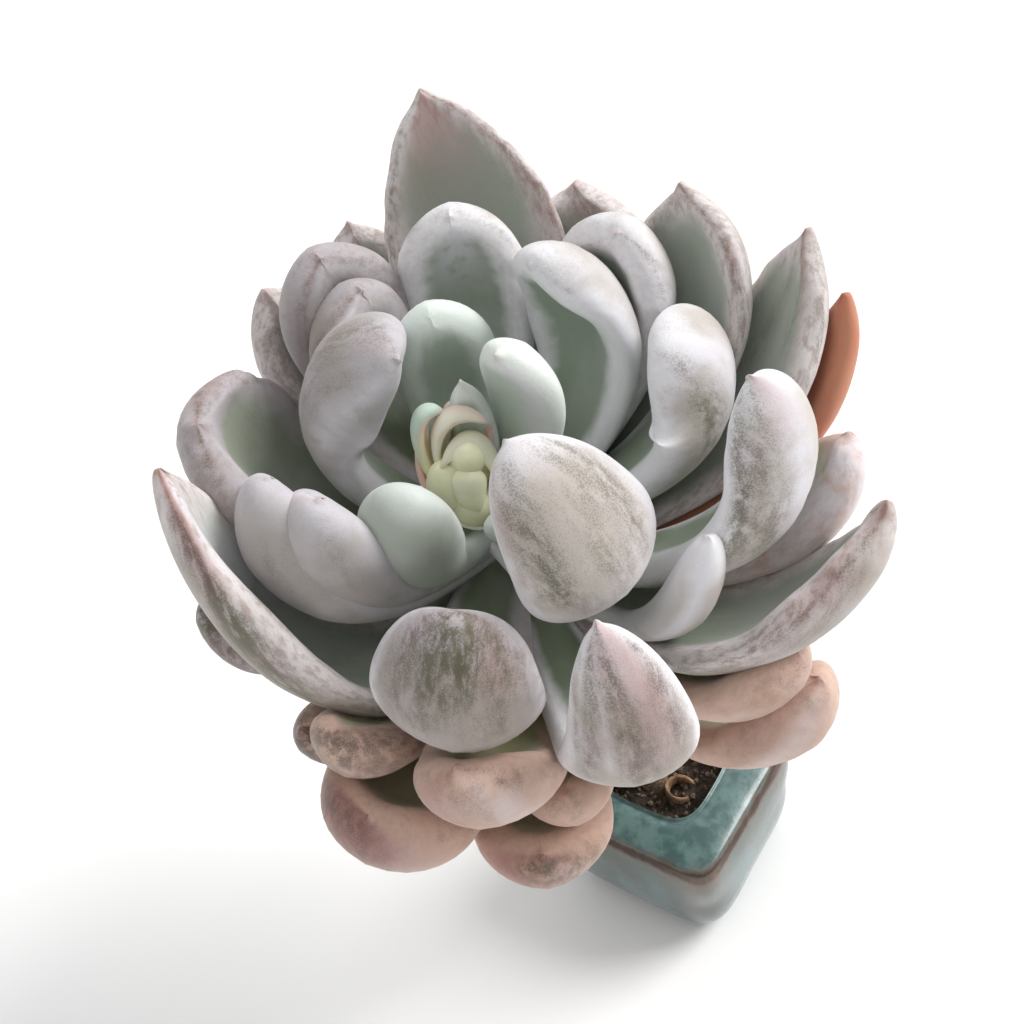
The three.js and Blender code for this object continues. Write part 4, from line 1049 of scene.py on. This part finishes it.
def dry_leaf_piece():
    bm = bmesh.new()
    low, high = DRY_LEAF_ARC
    inner, outer = DRY_LEAF_RADIUS - DRY_LEAF_THICKNESS, DRY_LEAF_RADIUS
    section = [bm.verts.new((r, 0, z)) for r, z in (
        (inner, 0.3), (inner, 1.5), (inner, 2.7), (inner + 0.1, DRY_LEAF_HEIGHT - 0.2),
        (outer - 0.1, DRY_LEAF_HEIGHT), (outer, 2.8), (outer, 1.4), (outer, 0))]
    end = bm.faces.new(section)
    start = Matrix.Rotation(math.radians(low), 3, "Z")
    bmesh.ops.rotate(bm, verts=section, cent=(0, 0, 0), matrix=start)
    bmesh.ops.spin(
        bm, geom=[end, *end.edges, *section], axis=(0, 0, 1), cent=(0, 0, 0),
        steps=DRY_LEAF_STEPS, angle=math.radians(high - low), use_duplicate=False)
    for vert in bm.verts:
        degrees = math.degrees(math.atan2(vert.co.y, vert.co.x)) % 360
        t = clamp((degrees - low) / (high - low))
        tall = 0.25 + 0.75 * math.sin(math.pi * clamp(t, 0.05, 0.95)) ** 0.6
        crinkle = noise.noise(vert.co * 0.5) + 0.5 * noise.noise(vert.co * 1.4)
        curl = 1 - 0.32 * t + 0.07 * crinkle
        vert.co.x *= curl
        vert.co.y *= curl
        vert.co.z = DRY_LEAF_HEIGHT * 0.2 * (1 - tall) + vert.co.z * tall + 0.25 * crinkle * t
        vert.co.z = max(vert.co.z, 0.0)
    set_in_place(bm, Matrix.Scale(MM, 4) @ Matrix.Translation(DRY_LEAF_PLACE))
    return piece(bm, "curled_dry_leaf", DRY, "dry_leaf", "dry_leaf")


# Making the plant

# Each leaf, bract and bud has its own number, which sets its unevenness. The leaves' start from 0.
HEART_BUD_NUMBER = 50
FIRST_BRACT_NUMBER = 60
FIRST_SHOOT_BUD_NUMBER = 70

pot_piece()
soil_piece()
grit_piece()
stem_piece()
dry_leaf_piece()
for number, leaf in enumerate(LEAVES):
    skin = LEAF_SKINS[OTHER_SKINS.get(leaf.name, leaf.group)]
    grown_leaf(leaf, number, skin, leaf.group + "_leaf", leaf.name)
for number, leaf in enumerate(HEART_LEAVES, len(LEAVES)):
    grown_leaf(leaf, number, LEAF_SKINS["young"], "young_leaf", "heart", HEART_MIDDLE, HEART_LEAF_STEPS)
bud_piece("heart_bud", HEART_BUD_NUMBER, LEAF_SKINS["young"], "young_leaf", "heart")
for number, bract in enumerate(BRACTS, FIRST_BRACT_NUMBER):
    shoot_bract(bract, number)
shoot_buds = ("shoot_bud", "shoot_bud_tip", "shoot_belly", "shoot_stalk")
for number, name in enumerate(shoot_buds, FIRST_SHOOT_BUD_NUMBER):
    bud_piece(name, number, BRACT_SKINS["yellow"], "shoot", "young_shoot")


# Stage, light and camera

# Half the floor's side in metres and its colour, then the colour and strength of the light from all round
FLOOR_HALF = 4
FLOOR_WHITE = (0.97, 0.97, 0.97)
SKY_COLOUR = (1, 1, 0.98, 1)
SKY_STRENGTH = 0.36

floor_mesh = bmesh.new()
bmesh.ops.create_grid(floor_mesh, x_segments=1, y_segments=1, size=FLOOR_HALF)
floor_data = bpy.data.meshes.new("floor")
floor_mesh.to_mesh(floor_data)
floor_mesh.free()
floor = bpy.data.objects.new("floor", floor_data)
floor_paint = Finish("pale_floor")
floor_data.materials.append(floor_paint.done(Base_Color=FLOOR_WHITE, Roughness=0.9))
bpy.context.scene.collection.objects.link(floor)

world = bpy.data.worlds.new("studio")
bpy.context.scene.world = world
world.use_nodes = True
sky = world.node_tree.nodes["Background"]
sky.inputs["Color"].default_value = SKY_COLOUR
sky.inputs["Strength"].default_value = SKY_STRENGTH


def far_light(name, direction, energy, angle, colour):
    """A large soft light so far away that it lights the plant and its floor evenly."""
    data = bpy.data.lights.new(name, "SUN")
    data.energy = energy
    data.angle = math.radians(angle)
    data.color = colour
    lamp = bpy.data.objects.new(name, data)
    lamp.rotation_euler = Vector(direction).to_track_quat("Z", "Y").to_euler()
    bpy.context.scene.collection.objects.link(lamp)


far_light("window", (0.78, 0.08, 0.62), 2.6, 30, (1, 0.99, 0.975))
far_light("ceiling", (0.1, 0.3, 0.95), 1.3, 120, (0.965, 0.985, 1))

camera_data = bpy.data.cameras.new("camera")
camera_data.lens = CAMERA_LENS
camera_data.sensor_width = CAMERA_SENSOR
camera_data.clip_start = 0.01
camera = bpy.data.objects.new("camera", camera_data)
camera.matrix_world = (
    Matrix.Translation(CAMERA_PLACE)
    @ Matrix.Rotation(math.radians(90 - CAMERA_DOWN), 4, "X")
    @ Matrix.Rotation(math.radians(CAMERA_ROLL), 4, "Z"))
bpy.context.scene.collection.objects.link(camera)
bpy.context.scene.camera = camera
bpy.context.scene.view_settings.view_transform = "Standard"
